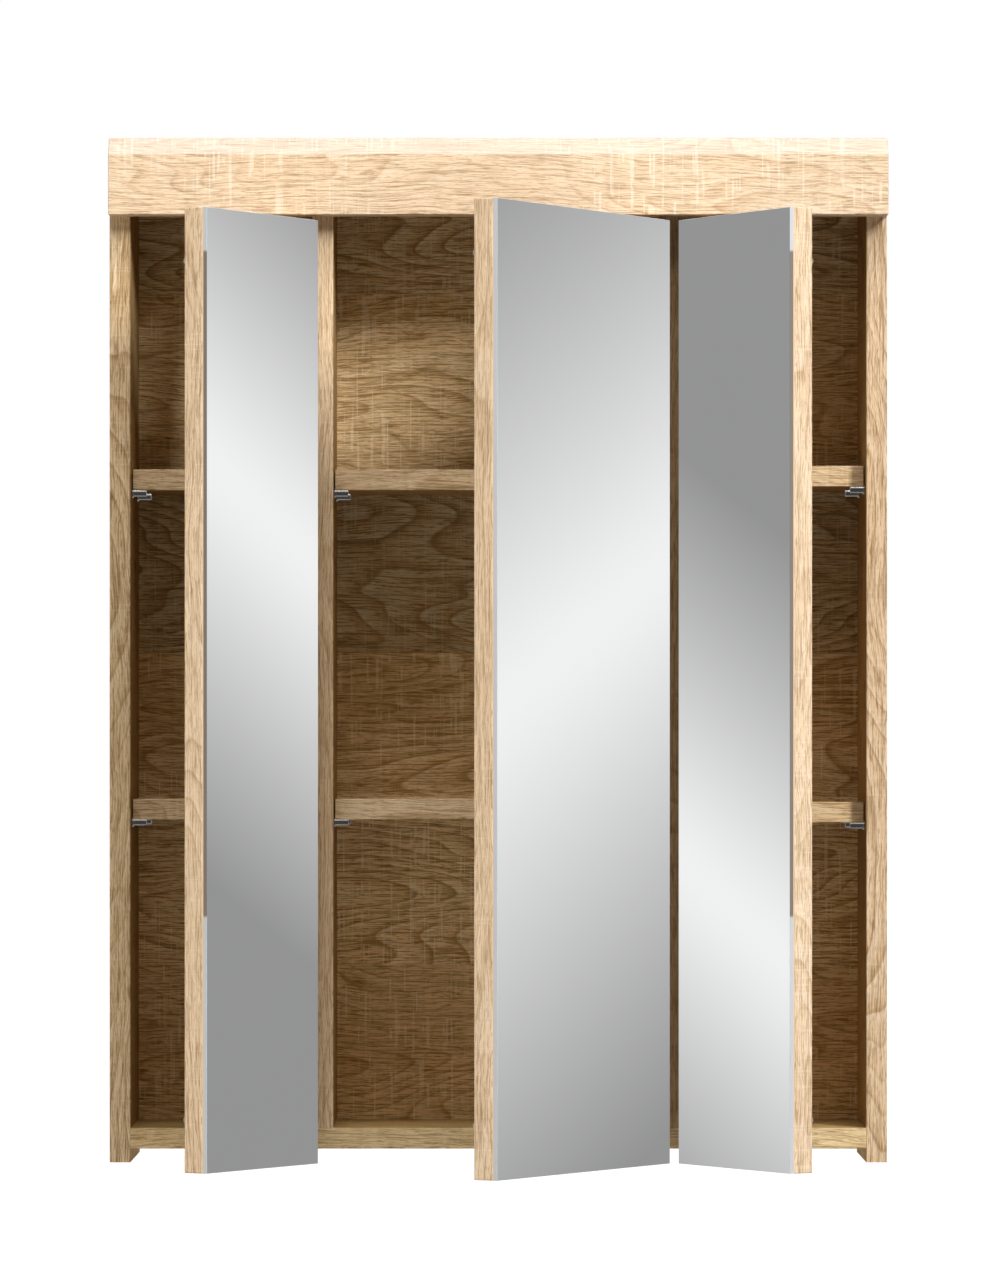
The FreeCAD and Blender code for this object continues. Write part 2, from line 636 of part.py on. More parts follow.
hanger("left_hanger", -1)
hanger("right_hanger", 1)
copies("hanger_screws", [hanger_screw.Shape],
       [facing((0, 1, 0), (hand * (INNER_X + HALF_BOARD), mm("carcass_depth") + mm("hanger_gauge"),
                           HANGER_Z + row * mm("hanger_screw_pitch") / 2))
        for hand in (-1, 1) for row in (-1, 1)], HOME)


# Hinge linkage: where each moving piece stands at a door angle

ARM_PIN = Vector(mm("main_arm_x"), mm("main_arm_y"), 0)
CUP_PIN = Vector(mm("main_cup_x"), mm("main_cup_y"), 0)
PLATE_ARM_PIN = Vector(mm("plate_arm_x"), mm("plate_arm_y"), 0)
PLATE_CUP_PIN = Vector(mm("plate_cup_x"), mm("plate_cup_y"), 0)
PLATE_EYE = Vector(mm("plate_eye_x"), mm("plate_eye_y"), 0)


def turn(degrees):
    """Rotation about the upright hinge axes."""
    return Rotation(Vector(0, 0, 1), degrees)


def about(fixed, moved, degrees):
    """Placement that turns about a point and takes that point to where it has moved."""
    return Placement(moved - turn(degrees).multVec(fixed), turn(degrees))


def main_link_pose(angle):
    """The main link turns on the arm's pin."""
    return about(ARM_PIN, ARM_PIN, mm("main_ratio") * angle)


def door_pose(angle):
    """The door is carried by the main link's far pin."""
    return about(CUP_PIN, main_link_pose(angle).multVec(CUP_PIN), angle)


def side_plate_pose(angle):
    """The side plates are carried by the door's second cup pin."""
    return about(PLATE_CUP_PIN, door_pose(angle).multVec(PLATE_CUP_PIN), mm("plate_ratio") * angle)


# Hinge pieces, as patterns in the closed pose

def bar(start, end, half, low, gauge):
    """Flat bar with round ends between two points."""
    along = (end - start).normalize()
    across = Vector(-along.y, along.x, 0)
    first, second = start + across * half, start - across * half
    third, fourth = end - across * half, end + across * half
    wire = Part.Wire([Part.Arc(first, start - along * half, second).toShape(),
                      Part.LineSegment(second, third).toShape(),
                      Part.Arc(third, end + along * half, fourth).toShape(),
                      Part.LineSegment(fourth, first).toShape()])
    face = Part.Face(wire)
    face.translate(Vector(0, 0, low))
    return face.extrude(Vector(0, 0, gauge))


def disc(centre, radius, low, gauge):
    """Upright cylinder on a hinge axis."""
    return Part.makeCylinder(radius, gauge, centre + Vector(0, 0, low))


def slab(points, low, gauge):
    """Upright prism on a closed run of points."""
    face = Part.Face(Part.makePolygon([Vector(x, y, low) for x, y in points + points[:1]]))
    return face.extrude(Vector(0, 0, gauge))


def knee_of(pivot, ratio):
    """Where a hooked link bends, so that it clears the cup's rim with the door at its widest."""
    rim = mm("cup_edge") + mm("cup_wall")
    wide = Vector(rim + mm("knee_over"), -mm("knee_under"), 0)
    return about(pivot, pivot, (1 - ratio) * mm("widest_angle")).multVec(wide)


def hooked_link(cup_end, arm_end, ratio, half, low, gauge, arm_bore):
    """Flat link with a bend at the cup's rim and an eye at each end."""
    knee = knee_of(cup_end, ratio)
    cup_bore = mm("hinge_pin") + mm("running_fit")
    body = bar(cup_end, knee, half, low, gauge).fuse([
        bar(knee, arm_end, half, low, gauge),
        disc(cup_end, cup_bore + mm("eye_wall"), low, gauge),
        disc(arm_end, arm_bore + mm("eye_wall"), low, gauge)])
    holes = [disc(cup_end, cup_bore, low, gauge), disc(arm_end, arm_bore, low, gauge)]
    return body.cut(holes).removeSplitter().Solids[0]


PLATE_LOW = mm("main_gauge") / 2 + mm("link_gap")
CHEEK_LOW = PLATE_LOW + mm("plate_gauge") + mm("link_gap")
CHEEK_HIGH = CHEEK_LOW + mm("arm_gauge")
FREE_BORE = mm("hinge_pin") + mm("running_fit")

main_link = hooked_link(CUP_PIN, ARM_PIN, mm("main_ratio"), mm("main_half"), -mm("main_gauge") / 2,
                        mm("main_gauge"), FREE_BORE)
side_plates = [hooked_link(PLATE_CUP_PIN, PLATE_EYE, mm("plate_ratio"), mm("plate_half"), low,
                           mm("plate_gauge"), FREE_BORE + mm("plate_play"))
               for low in (PLATE_LOW, -PLATE_LOW - mm("plate_gauge"))]


ARM_SCREW_ROWS = (-mm("rail_front") - mm("arm_screw_front"), -mm("arm_length") + mm("arm_screw_rear"))
ARM_ROOF = mm("arm_seat") + mm("arm_gauge")


def arm_screw_bores(start, length):
    """Bores along the hinge's depth for the two screws of an arm."""
    radius = mm("arm_screw") + mm("running_fit")
    return [Part.makeCylinder(radius, length, Vector(start, row, 0), Vector(1, 0, 0)) for row in ARM_SCREW_ROWS]


def hinge_arm():
    """Cranked channel that straddles the rail of its foot and holds the linkage's two fixed pins."""
    gauge, nose, seat, skirt = mm("arm_gauge"), mm("arm_nose"), mm("arm_seat"), mm("arm_skirt")
    rear, crank = -mm("arm_length"), -mm("rail_front")
    tip = mm("arm_tip")
    bend = ARM_PIN.y - tip - gauge
    top = PLATE_ARM_PIN.y - 2 * tip
    above = PLATE_ARM_PIN.y + 2 * tip
    left = PLATE_ARM_PIN.x - tip
    side = [(skirt, rear), (seat + gauge, rear), (seat + gauge, crank), (nose, bend), (nose, top),
            (PLATE_ARM_PIN.x + tip, PLATE_ARM_PIN.y), (left, PLATE_ARM_PIN.y), (left, bend + tip),
            (skirt, crank + tip)]
    hollow = [(skirt - tip, rear - gauge), (seat, rear - gauge), (seat, crank), (nose - gauge, bend),
              (nose - gauge, above), (skirt - tip, above)]
    across = 2 * CHEEK_HIGH
    solid = slab(side, -CHEEK_HIGH, across).fuse(disc(PLATE_ARM_PIN, tip, -CHEEK_HIGH, across))
    bores = [disc(pin, mm("hinge_pin"), -CHEEK_HIGH, across) for pin in (ARM_PIN, PLATE_ARM_PIN)]
    solid = solid.cut([slab(hollow, -CHEEK_LOW, 2 * CHEEK_LOW)] + bores + arm_screw_bores(seat, gauge))
    return solid.removeSplitter().Solids[0]


def hinge_foot():
    """Mounting plate on a partition: a base held by two screws and the rail that carries the arm."""
    wall = mm("board") / 2 - mm("twin_gap") / 2
    line = -mm("door_standoff") - mm("foot_setback")
    wide, tall = mm("foot_width"), mm("foot_height")
    base = Part.makeBox(mm("foot_gauge"), wide, tall, Vector(wall, line - wide / 2, -tall / 2))
    half = CHEEK_LOW - mm("rail_play")
    length = mm("arm_length") - mm("rail_front")
    rail = Part.makeBox(mm("arm_seat") - wall, length, 2 * half, Vector(wall, -mm("arm_length"), -half))
    bores = [Part.makeCylinder(mm("foot_screw") + mm("running_fit"), mm("foot_gauge"),
                               Vector(wall, line, row * mm("foot_screw_pitch") / 2), Vector(1, 0, 0))
             for row in (-1, 1)]
    deep = mm("arm_screw_length") + mm("hole_fit")
    bores += arm_screw_bores(mm("arm_seat") - deep, deep)
    return base.fuse(rail).cut(bores).removeSplitter().Solids[0]


EAR_SCREWS = [Vector(CUP_X + mm("ear_screw_x"), -mm("ear_gauge"), side * mm("ear_screw_z"))
              for side in (-1, 1)]


def hinge_cup():
    """Pressed cup with a floor, an open mouth and two ears that lie on the back of the door."""
    axis, centre = Vector(0, 1, 0), Vector(CUP_X, 0, 0)
    inner = mm("cup_radius") - mm("cup_wall")
    shell = Part.makeCylinder(mm("cup_radius"), mm("cup_depth"), centre, axis)
    ears = [Part.makeBox(mm("ear_far") - mm("ear_near"), mm("ear_gauge"), mm("ear_high") - mm("ear_low"),
                         Vector(CUP_X + mm("ear_near"), -mm("ear_gauge"), low))
            for low in (mm("ear_low"), -mm("ear_high"))]
    mouth = Part.makeCylinder(inner, mm("cup_depth") - mm("cup_wall") + mm("ear_gauge"),
                              centre - axis * mm("ear_gauge"), axis)
    screws = [Part.makeCylinder(mm("cup_screw") + mm("running_fit"), mm("ear_gauge"), place, axis)
              for place in EAR_SCREWS]
    return shell.fuse(ears).cut([mouth] + screws).removeSplitter().Solids[0]


def in_cup(pins):
    """The pins cut off in the middle of the cup's wall."""
    bowl = Part.makeCylinder(mm("cup_radius") - mm("cup_wall") / 2, mm("cup_depth"), Vector(CUP_X, 0, 0),
                             Vector(0, 1, 0))
    return [pin.common(bowl).Solids[0] for pin in pins]


def stubs(pin, low, high):
    """A pair of short pins, one on each side of the main link."""
    return [disc(pin, mm("hinge_pin"), low, high - low), disc(pin, mm("hinge_pin"), -high, high - low)]


cup_pins = in_cup([disc(CUP_PIN, mm("hinge_pin"), -mm("cup_radius"), 2 * mm("cup_radius"))]
                  + stubs(PLATE_CUP_PIN, PLATE_LOW, mm("cup_radius")))
arm_pins = [disc(ARM_PIN, mm("hinge_pin"), -CHEEK_HIGH, 2 * CHEEK_HIGH)]
arm_pins += stubs(PLATE_ARM_PIN, PLATE_LOW, CHEEK_HIGH)
cup = hinge_cup().cut(cup_pins).Solids[0]
arm = hinge_arm()
foot = hinge_foot()


# Doors with their hinges

def door_board(label, width, carry):
    """Decor board with bores for two hinge cups and their screws in its back."""
    body = new_body(label, node=False)
    tall = f"{DOOR_HEIGHT} / 2"
    pad(body, "XZ_Plane", "0", rectangle("0", f"-{tall}", width, tall), "dims.board", reverse=True)
    cups = [(CUP_CENTRE, f"{level} * {HINGE_LEVEL}", "dims.cup_radius + dims.cup_fit") for level in (-1, 1)]
    drill(body, "XZ_Plane", "0", cups, "dims.cup_depth + dims.cup_fit")
    screws = [(f"{CUP_CENTRE} + dims.ear_screw_x", f"{level} * {HINGE_LEVEL} + {side} * dims.ear_screw_z",
               "dims.cup_screw + dims.running_fit") for level in (-1, 1) for side in (-1, 1)]
    drill(body, "XZ_Plane", "0", screws, "dims.cup_screw_length + dims.hole_fit")
    ease(body, lambda box: True)
    body.Placement = carry
    nodes.append(body)


def door_mirror(label, width, carry):
    """Mirror glass bonded over the whole front of a door board."""
    body = new_body(label, node=False)
    tall = f"{DOOR_HEIGHT} / 2"
    sheet_shape = rectangle("0", f"-{tall}", width, tall)
    pad(body, "XZ_Plane", "-dims.board", sheet_shape, "dims.mirror_gauge", reverse=True)
    front = mm("board") + mm("mirror_gauge")
    names = straight_edges(body, lambda box: box.YMin > front - NEAR)
    base = body.Tip
    arris = body.newObject("PartDesign::Chamfer", f"{label}_arris")
    arris.Base = (base, names)
    arris.setExpression("Size", "dims.mirror_arris")
    body.Placement = carry
    nodes.append(body)


SIDE_WIDTH = mm("cabinet_width") / 2 - mm("outer_reveal") - SPLIT_X - mm("twin_gap") / 2
MIDDLE_WIDTH = 2 * SPLIT_X - mm("twin_gap")
HALF_GAP = mm("twin_gap") / 2
HINGED_RIGHT = Rotation(Vector(0, 0, 1), 180)
HINGED_LEFT = Rotation(Vector(1, 0, 0), 180)
DOORS = (
    ("left", -SPLIT_X - HALF_GAP, HINGED_RIGHT, SIDE_DOOR, SIDE_WIDTH),
    ("middle", SPLIT_X - HALF_GAP, HINGED_RIGHT, MIDDLE_DOOR, MIDDLE_WIDTH),
    ("right", SPLIT_X + HALF_GAP, HINGED_LEFT, SIDE_DOOR, SIDE_WIDTH),
)
LEVELS = [Placement(Vector(0, 0, level * HINGE_Z), Rotation()) for level in (-1, 1)]
OPEN = mm("door_angle")

for door, edge, swing, width_rule, width_mm in DOORS:
    closed = HOME.multiply(Placement(Vector(edge, -mm("door_standoff"), DOOR_TALL / 2), swing))
    opened = closed.multiply(door_pose(OPEN))
    door_board(f"{door}_door_board", width_rule, opened)
    door_mirror(f"{door}_door_mirror", width_rule, opened)
    copies(f"{door}_hinge_cups", [cup], LEVELS, opened)
    copies(f"{door}_cup_pins", cup_pins, LEVELS, opened)
    copies(f"{door}_cup_screws", [cup_screw.Shape],
           [level.multiply(facing((0, -1, 0), place)) for level in LEVELS for place in EAR_SCREWS], opened)
    copies(f"{door}_door_bumpers", [bumper.Shape],
           [facing((0, -1, 0), (width_mm - mm("bumper_edge"), 0, end * (DOOR_TALL / 2 - mm("bumper_inset"))))
            for end in (-1, 1)], opened)
    copies(f"{door}_main_links", [main_link], LEVELS, closed.multiply(main_link_pose(OPEN)))
    copies(f"{door}_side_plates", side_plates, LEVELS, closed.multiply(side_plate_pose(OPEN)))
    copies(f"{door}_hinge_arms", [arm], LEVELS, closed)
    copies(f"{door}_arm_pins", arm_pins, LEVELS, closed)
    copies(f"{door}_hinge_feet", [foot], LEVELS, closed)

foot_face = mm("board") / 2 - HALF_GAP + mm("foot_gauge")
foot_line = -mm("door_standoff") - mm("foot_setback")
foot_places = []
arm_screw_places = []
for door, edge, swing, width_rule, width_mm in DOORS:
    closed = Placement(Vector(edge, -mm("door_standoff"), DOOR_TALL / 2), swing)
    for level in (-1, 1):
        for row in (-1, 1):
            height = level * HINGE_Z + row * mm("foot_screw_pitch") / 2
            foot_places.append(closed.multiply(facing((1, 0, 0), (foot_face, foot_line, height))))
        for row in ARM_SCREW_ROWS:
            arm_screw_places.append(closed.multiply(facing((1, 0, 0), (ARM_ROOF, row, level * HINGE_Z))))
copies("hinge_foot_screws", [foot_screw.Shape], foot_places, HOME)
copies("hinge_arm_screws", [arm_screw.Shape], arm_screw_places, HOME)

# Every object must have been built before anything is written
doc.recompute()
for item in doc.Objects:
    if "Invalid" in item.State or "Error" in item.State:
        raise ValueError(f"{item.Label} was not built: {item.State}")
os.makedirs("parts", exist_ok=True)
for node in nodes:
    if node.Shape.isNull() or not node.Shape.isValid():
        raise ValueError(f"{node.Label} has no valid shape")
for node in nodes:
    node.Shape.exportStep(f"parts/{node.Label}.step")
print(len(nodes), "nodes written")
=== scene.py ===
"""Looks of a mirrored wall cabinet in sawn oak decor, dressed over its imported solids.

The cabinet hangs in a white studio. Its boards take a procedural oak finish that follows each board's own
grain, the doors get silvered glass with a polished edge, and the fittings get nickel, zinc and plastic.
"""
import json
import logging
import math
from dataclasses import dataclass, field
from enum import Enum
from typing import Any, Optional, Sequence

import bpy
from mathutils import Matrix, Vector

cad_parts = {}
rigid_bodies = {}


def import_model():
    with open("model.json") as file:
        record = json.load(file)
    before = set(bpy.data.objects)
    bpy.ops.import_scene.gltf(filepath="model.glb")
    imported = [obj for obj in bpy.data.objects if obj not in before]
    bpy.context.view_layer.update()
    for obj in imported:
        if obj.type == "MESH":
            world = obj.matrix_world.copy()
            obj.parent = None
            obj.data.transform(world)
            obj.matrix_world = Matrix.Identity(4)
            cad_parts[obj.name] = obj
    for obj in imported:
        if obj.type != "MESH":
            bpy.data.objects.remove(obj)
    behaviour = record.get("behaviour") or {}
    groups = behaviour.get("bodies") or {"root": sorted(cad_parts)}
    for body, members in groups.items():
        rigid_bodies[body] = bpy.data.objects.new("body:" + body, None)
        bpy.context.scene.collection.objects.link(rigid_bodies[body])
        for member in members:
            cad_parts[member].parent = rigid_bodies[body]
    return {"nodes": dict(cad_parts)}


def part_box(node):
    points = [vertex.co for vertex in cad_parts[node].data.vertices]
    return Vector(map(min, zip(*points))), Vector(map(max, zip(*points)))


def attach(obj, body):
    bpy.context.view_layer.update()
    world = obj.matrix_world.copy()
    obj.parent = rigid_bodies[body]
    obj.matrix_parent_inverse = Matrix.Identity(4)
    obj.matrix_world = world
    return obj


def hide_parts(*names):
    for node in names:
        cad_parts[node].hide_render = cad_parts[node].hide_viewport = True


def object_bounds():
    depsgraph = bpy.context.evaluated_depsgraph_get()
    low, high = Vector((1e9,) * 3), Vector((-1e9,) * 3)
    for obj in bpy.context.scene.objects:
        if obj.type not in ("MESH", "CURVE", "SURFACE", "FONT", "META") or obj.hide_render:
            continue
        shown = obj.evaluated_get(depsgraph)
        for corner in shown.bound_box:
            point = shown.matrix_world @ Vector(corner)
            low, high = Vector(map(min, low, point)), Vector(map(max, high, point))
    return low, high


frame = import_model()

Colour = tuple[float, float, float]
Triple = tuple[float, float, float]
LOG = logging.getLogger("cabinet")
CAD_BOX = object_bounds()
MM = 0.001
UP = Vector((0, 0, 1))
ONE_PLANK = 0.01  # planks for each metre on a board whose decor isn't split
SCREEN_GAMMA = 2.2  # power that turns a grey seen on screen into light


class Grain(Enum):
    """Direction in which a board's grain runs."""

    ACROSS = "across"
    UPRIGHT = "upright"


class Hand(Enum):
    """Side on which a door is hinged, with the sense in which it opens about +Z."""

    HINGED_RIGHT = 1
    HINGED_LEFT = -1


class Tree:
    """Short way to add and link nodes in one node tree."""

    def __init__(self, tree: bpy.types.NodeTree) -> None:
        """Keep the tree that the nodes go into.

        Args:
            tree: node tree of a material, a world or a group.
        """
        self.tree = tree

    def node(self, kind: str, **settings: Any) -> bpy.types.Node:
        """Add a node and set its properties.

        Args:
            kind: Blender's type name of the node.
            settings: properties to set on the node.

        Returns:
            The new node.
        """
        made = self.tree.nodes.new(kind)
        for key, value in settings.items():
            setattr(made, key, value)
        return made

    def feed(self, value: Any, socket: bpy.types.NodeSocket) -> None:
        """Link a socket, or set a plain value, into an input.

        Args:
            value: an output socket, a number or a tuple.
            socket: the input that takes it.
        """
        if isinstance(value, bpy.types.NodeSocket):
            self.tree.links.new(value, socket)
        else:
            socket.default_value = value

    def math(self, operation: str, first: Any, second: Any = 0.0, third: Any = 0.0) -> bpy.types.NodeSocket:
        """Add a Math node.

        Args:
            operation: Blender's name of the operation.
            first: first operand.
            second: second operand.
            third: third operand, where the operation has one.

        Returns:
            The result.
        """
        made = self.node("ShaderNodeMath", operation=operation)
        for index, value in enumerate((first, second, third)):
            self.feed(value, made.inputs[index])
        return made.outputs[0]

    def step(self, value: Any, low: float, high: float, to_low: float = 0.0, to_high: float = 1.0) -> Any:
        """Add a smooth ramp between two values.

        Args:
            value: what is ramped.
            low: value at which the ramp starts.
            high: value at which the ramp ends.
            to_low: result below the ramp.
            to_high: result above the ramp.

        Returns:
            The ramped value.
        """
        made = self.node("ShaderNodeMapRange", interpolation_type="SMOOTHSTEP")
        for name, item in (("Value", value), ("From Min", low), ("From Max", high), ("To Min", to_low),
                           ("To Max", to_high)):
            self.feed(item, made.inputs[name])
        return made.outputs["Result"]

    def join(self, x: Any, y: Any, z: Any = 0.0) -> bpy.types.NodeSocket:
        """Add a Combine XYZ node.

        Args:
            x: first part.
            y: second part.
            z: third part.

        Returns:
            The vector.
        """
        made = self.node("ShaderNodeCombineXYZ")
        for index, value in enumerate((x, y, z)):
            self.feed(value, made.inputs[index])
        return made.outputs[0]

    def noise(self, vector: Any, scale: float = 1.0, detail: float = 2.0,
              roughness: float = 0.5) -> bpy.types.NodeSocket:
        """Add a Noise texture.

        Args:
            vector: where it is read.
            scale: cells for each unit of the vector.
            detail: octaves.
            roughness: weight of the finer octaves.

        Returns:
            The noise, about 0 to 1.
        """
        made = self.node("ShaderNodeTexNoise")
        for name, value in (("Vector", vector), ("Scale", scale), ("Detail", detail),
                            ("Roughness", roughness)):
            self.feed(value, made.inputs[name])
        return made.outputs["Fac"]

    def blend(self, share: Any, first: Any, second: Any, kind: str = "MIX") -> bpy.types.NodeSocket:
        """Mix two colours.

        Args:
            share: weight of the second colour.
            first: first colour.
            second: second colour.
            kind: Blender's blend type.

        Returns:
            The mixed colour.
        """
        made = self.node("ShaderNodeMix", data_type="RGBA", blend_type=kind)
        self.feed(share, made.inputs["Factor"])
        for name, value in (("A", first), ("B", second)):
            socket = next(item for item in made.inputs if item.name == name and item.type == "RGBA")
            self.feed((*value, 1.0) if isinstance(value, tuple) else value, socket)
        return next(item for item in made.outputs if item.type == "RGBA")


def new_group(name: str, takes: Sequence[tuple[str, str, Any]], gives: Sequence[tuple[str, str]]) -> Tree:
    """Start a shader node group with named sockets.

    Args:
        name: name of the group.
        takes: name, socket type and default of each input.
        gives: name and socket type of each output.

    Returns:
        The group's tree, with its input and output nodes added.
    """
    group = bpy.data.node_groups.new(name, "ShaderNodeTree")
    for label, kind, default in takes:
        socket = group.interface.new_socket(name=label, in_out="INPUT", socket_type=kind)
        if default is not None:
            socket.default_value = default
    for label, kind in gives:
        group.interface.new_socket(name=label, in_out="OUTPUT", socket_type=kind)
    tree = Tree(group)
    tree.node("NodeGroupInput", name="takes")
    tree.node("NodeGroupOutput", name="gives")
    return tree


def new_material(name: str) -> tuple[bpy.types.Material, Tree, bpy.types.Node]:
    """Start a material with a Principled shader.

    Args:
        name: name of the material.

    Returns:
        The material, its tree and its shader node.
    """
    material = bpy.data.materials.new(name)
    material.use_nodes = True
    tree = Tree(material.node_tree)
    shader = next(item for item in material.node_tree.nodes if item.type == "BSDF_PRINCIPLED")
    return material, tree, shader


def place_group(tree: Tree, group: bpy.types.NodeTree, values: dict[str, Any]) -> bpy.types.Node:
    """Place a group in a material and feed its inputs.

    Args:
        tree: the material's tree.
        group: the shared group.
        values: input name to value or socket.

    Returns:
        The group node.
    """
    made = tree.node("ShaderNodeGroup", node_tree=group)
    for label, value in values.items():
        tree.feed(value, made.inputs[label])
    return made


def object_place(tree: Tree, turn: Triple = (0.0, 0.0, 0.0), shift: Triple = (0.0, 0.0, 0.0),
                 fineness: float = 1.0) -> Any:
    """Object coordinates, scaled, turned and then moved by a Mapping node.

    Args:
        tree: the material's tree.
        turn: Euler angles.
        shift: offset after the turn.
        fineness: how many times smaller a pattern gets.

    Returns:
        The mapped vector.
    """
    coordinate = tree.node("ShaderNodeTexCoord")
    mapping = tree.node("ShaderNodeMapping", vector_type="POINT")
    mapping.inputs["Rotation"].default_value = turn
    mapping.inputs["Location"].default_value = shift
    mapping.inputs["Scale"].default_value = (fineness, fineness, fineness)
    tree.feed(coordinate.outputs["Object"], mapping.inputs["Vector"])
    return mapping.outputs["Vector"]


def bump(tree: Tree, height: Any, strength: float, distance: float) -> bpy.types.NodeSocket:
    """Turn a height into a normal.

    Args:
        tree: the material's tree.
        height: the height socket.
        strength: how strongly it shows.
        distance: depth in metres of a full step.

    Returns:
        The normal.
    """
    made = tree.node("ShaderNodeBump")
    made.inputs["Strength"].default_value = strength
    made.inputs["Distance"].default_value = distance
    tree.feed(height, made.inputs["Height"])
    return made.outputs["Normal"]


@dataclass(frozen=True)
class SawnOak:
    """Light oak decor with growth rings, dark pore dashes and pale saw marks across the grain, with painted
    shade and painted light from above where a board is set to take them.
    """

    pale: Colour = (0.98, 0.90, 0.77)
    light: Colour = (0.89, 0.725, 0.53)
    mid: Colour = (0.67, 0.485, 0.305)
    dark: Colour = (0.30, 0.185, 0.083)
    shade: Colour = (0.50, 0.40, 0.20)
    painted_top_light: Colour = (0.62, 0.53, 0.56)
    warm_shade: Colour = (0.95, 0.95, 0.74)
    raw_light: Colour = (0.50, 0.36, 0.24)
    raw_dark: Colour = (0.38, 0.26, 0.16)
    fineness: float = 1.3
    ring_count: float = 30.0
    wander: float = 0.045
    ripple: float = 0.0045
    plank_slip: float = 3.7
    plank_contrast: float = 0.65
    plank_lift: float = 0.14
    saw_share: float = 0.42
    seed_step: tuple[float, float] = (0.731, 0.477)
    relief: float = 0.25 * MM
    relief_strength: float = 0.35

    def group(self) -> bpy.types.NodeTree:
        """Build the grain group once and hand it out again later.

        Returns:
            The shared node group.
        """
        known = bpy.data.node_groups.get("oak_grain")
        if known:
            return known
        tree = new_group(
            "oak_grain",
            [("Vector", "NodeSocketVector", None), ("Saw", "NodeSocketFloat", 1.0),
             ("Figure", "NodeSocketFloat", 1.0), ("Planks", "NodeSocketFloat", ONE_PLANK),
             ("Depth", "NodeSocketFloat", 0.0), ("Pores", "NodeSocketFloat", 1.0),
             ("Warm Shade", "NodeSocketFloat", 0.0)],
            [("Color", "NodeSocketColor"), ("Roughness", "NodeSocketFloat"), ("Height", "NodeSocketFloat")])
        takes, gives = tree.tree.nodes["takes"].outputs, tree.tree.nodes["gives"].inputs
        parts = tree.node("ShaderNodeSeparateXYZ")
        tree.feed(takes["Vector"], parts.inputs[0])
        across = tree.math("ADD", parts.outputs["Y"], parts.outputs["Z"])
        tone, shift = self.planks(tree, across, takes["Planks"])
        along = tree.math("MULTIPLY_ADD", shift, self.plank_slip, parts.outputs["X"])

        def spread(lengthwise: float, crosswise: float, level: float, line: Any, **settings: float) -> Any:
            """Noise stretched along the grain, with its two frequencies for each metre."""
            place = tree.join(tree.math("MULTIPLY", along, lengthwise),
                              tree.math("MULTIPLY", line, crosswise), level)
            return tree.noise(place, **settings)

        # Growth rings: contours of a slow noise over the bent grain, strong in patches.
        slow_bend = tree.math("SUBTRACT", spread(2.4, 6.0, 0.0, across, detail=3.0), 0.5)
        quick_bend = tree.math("SUBTRACT", spread(14.0, 26.0, 5.0, across, detail=2.0), 0.5)
        bent = tree.math("MULTIPLY_ADD", slow_bend, self.wander, across)
        bent = tree.math("MULTIPLY_ADD", quick_bend, self.ripple, bent)
        contour = spread(1.8, 9.0, 0.0, bent, detail=1.5, roughness=0.4)
        rings = tree.math("FRACT", tree.math("MULTIPLY", contour, self.ring_count))
        patch = tree.step(spread(5.0, 14.0, 8.0, across), 0.32, 0.56, 0.4, 1.0)
        patch = tree.math("MULTIPLY", patch, takes["Figure"])
        fade = tree.step(rings, 0.94, 1.0, 1.0, 0.0)
        late = tree.math("MULTIPLY", tree.math("MULTIPLY", tree.step(rings, 0.30, 0.94), fade), patch)
        line = tree.math("MULTIPLY", tree.math("MULTIPLY", tree.step(rings, 0.76, 0.93), fade), patch)
        early = tree.math("MULTIPLY", tree.step(rings, 0.0, 0.05), tree.step(rings, 0.08, 0.32, 1.0, 0.0))
        early = tree.math("MULTIPLY", early, patch)
        # Pores: long fibres, short dashes and flecks along the grain.
        fibres = spread(12.0, 540.0, 0.0, bent, detail=4.0, roughness=0.70)
        dashes = tree.step(spread(40.0, 820.0, 3.0, bent, detail=2.5, roughness=0.6), 0.53, 0.60)
        flecks = tree.step(spread(110.0, 1100.0, 7.0, bent, detail=2.0), 0.55, 0.64)
        broad = spread(3.2, 7.0, 4.0, across, detail=2.0)
        # Saw marks: short strokes across the grain, in zones.
        blade = tree.step(spread(400.0, 5.0, 9.0, across, detail=1.0, roughness=0.4), 0.54, 0.64)
        stroke = tree.step(spread(90.0, 36.0, 6.0, across, detail=1.0), 0.46, 0.56)
        zone = tree.step(spread(4.0, 7.0, 2.0, across, detail=2.0), 0.36, 0.54)
        saw = tree.math("MULTIPLY", tree.math("MULTIPLY", blade, stroke),
                        tree.math("MULTIPLY", zone, takes["Saw"]))

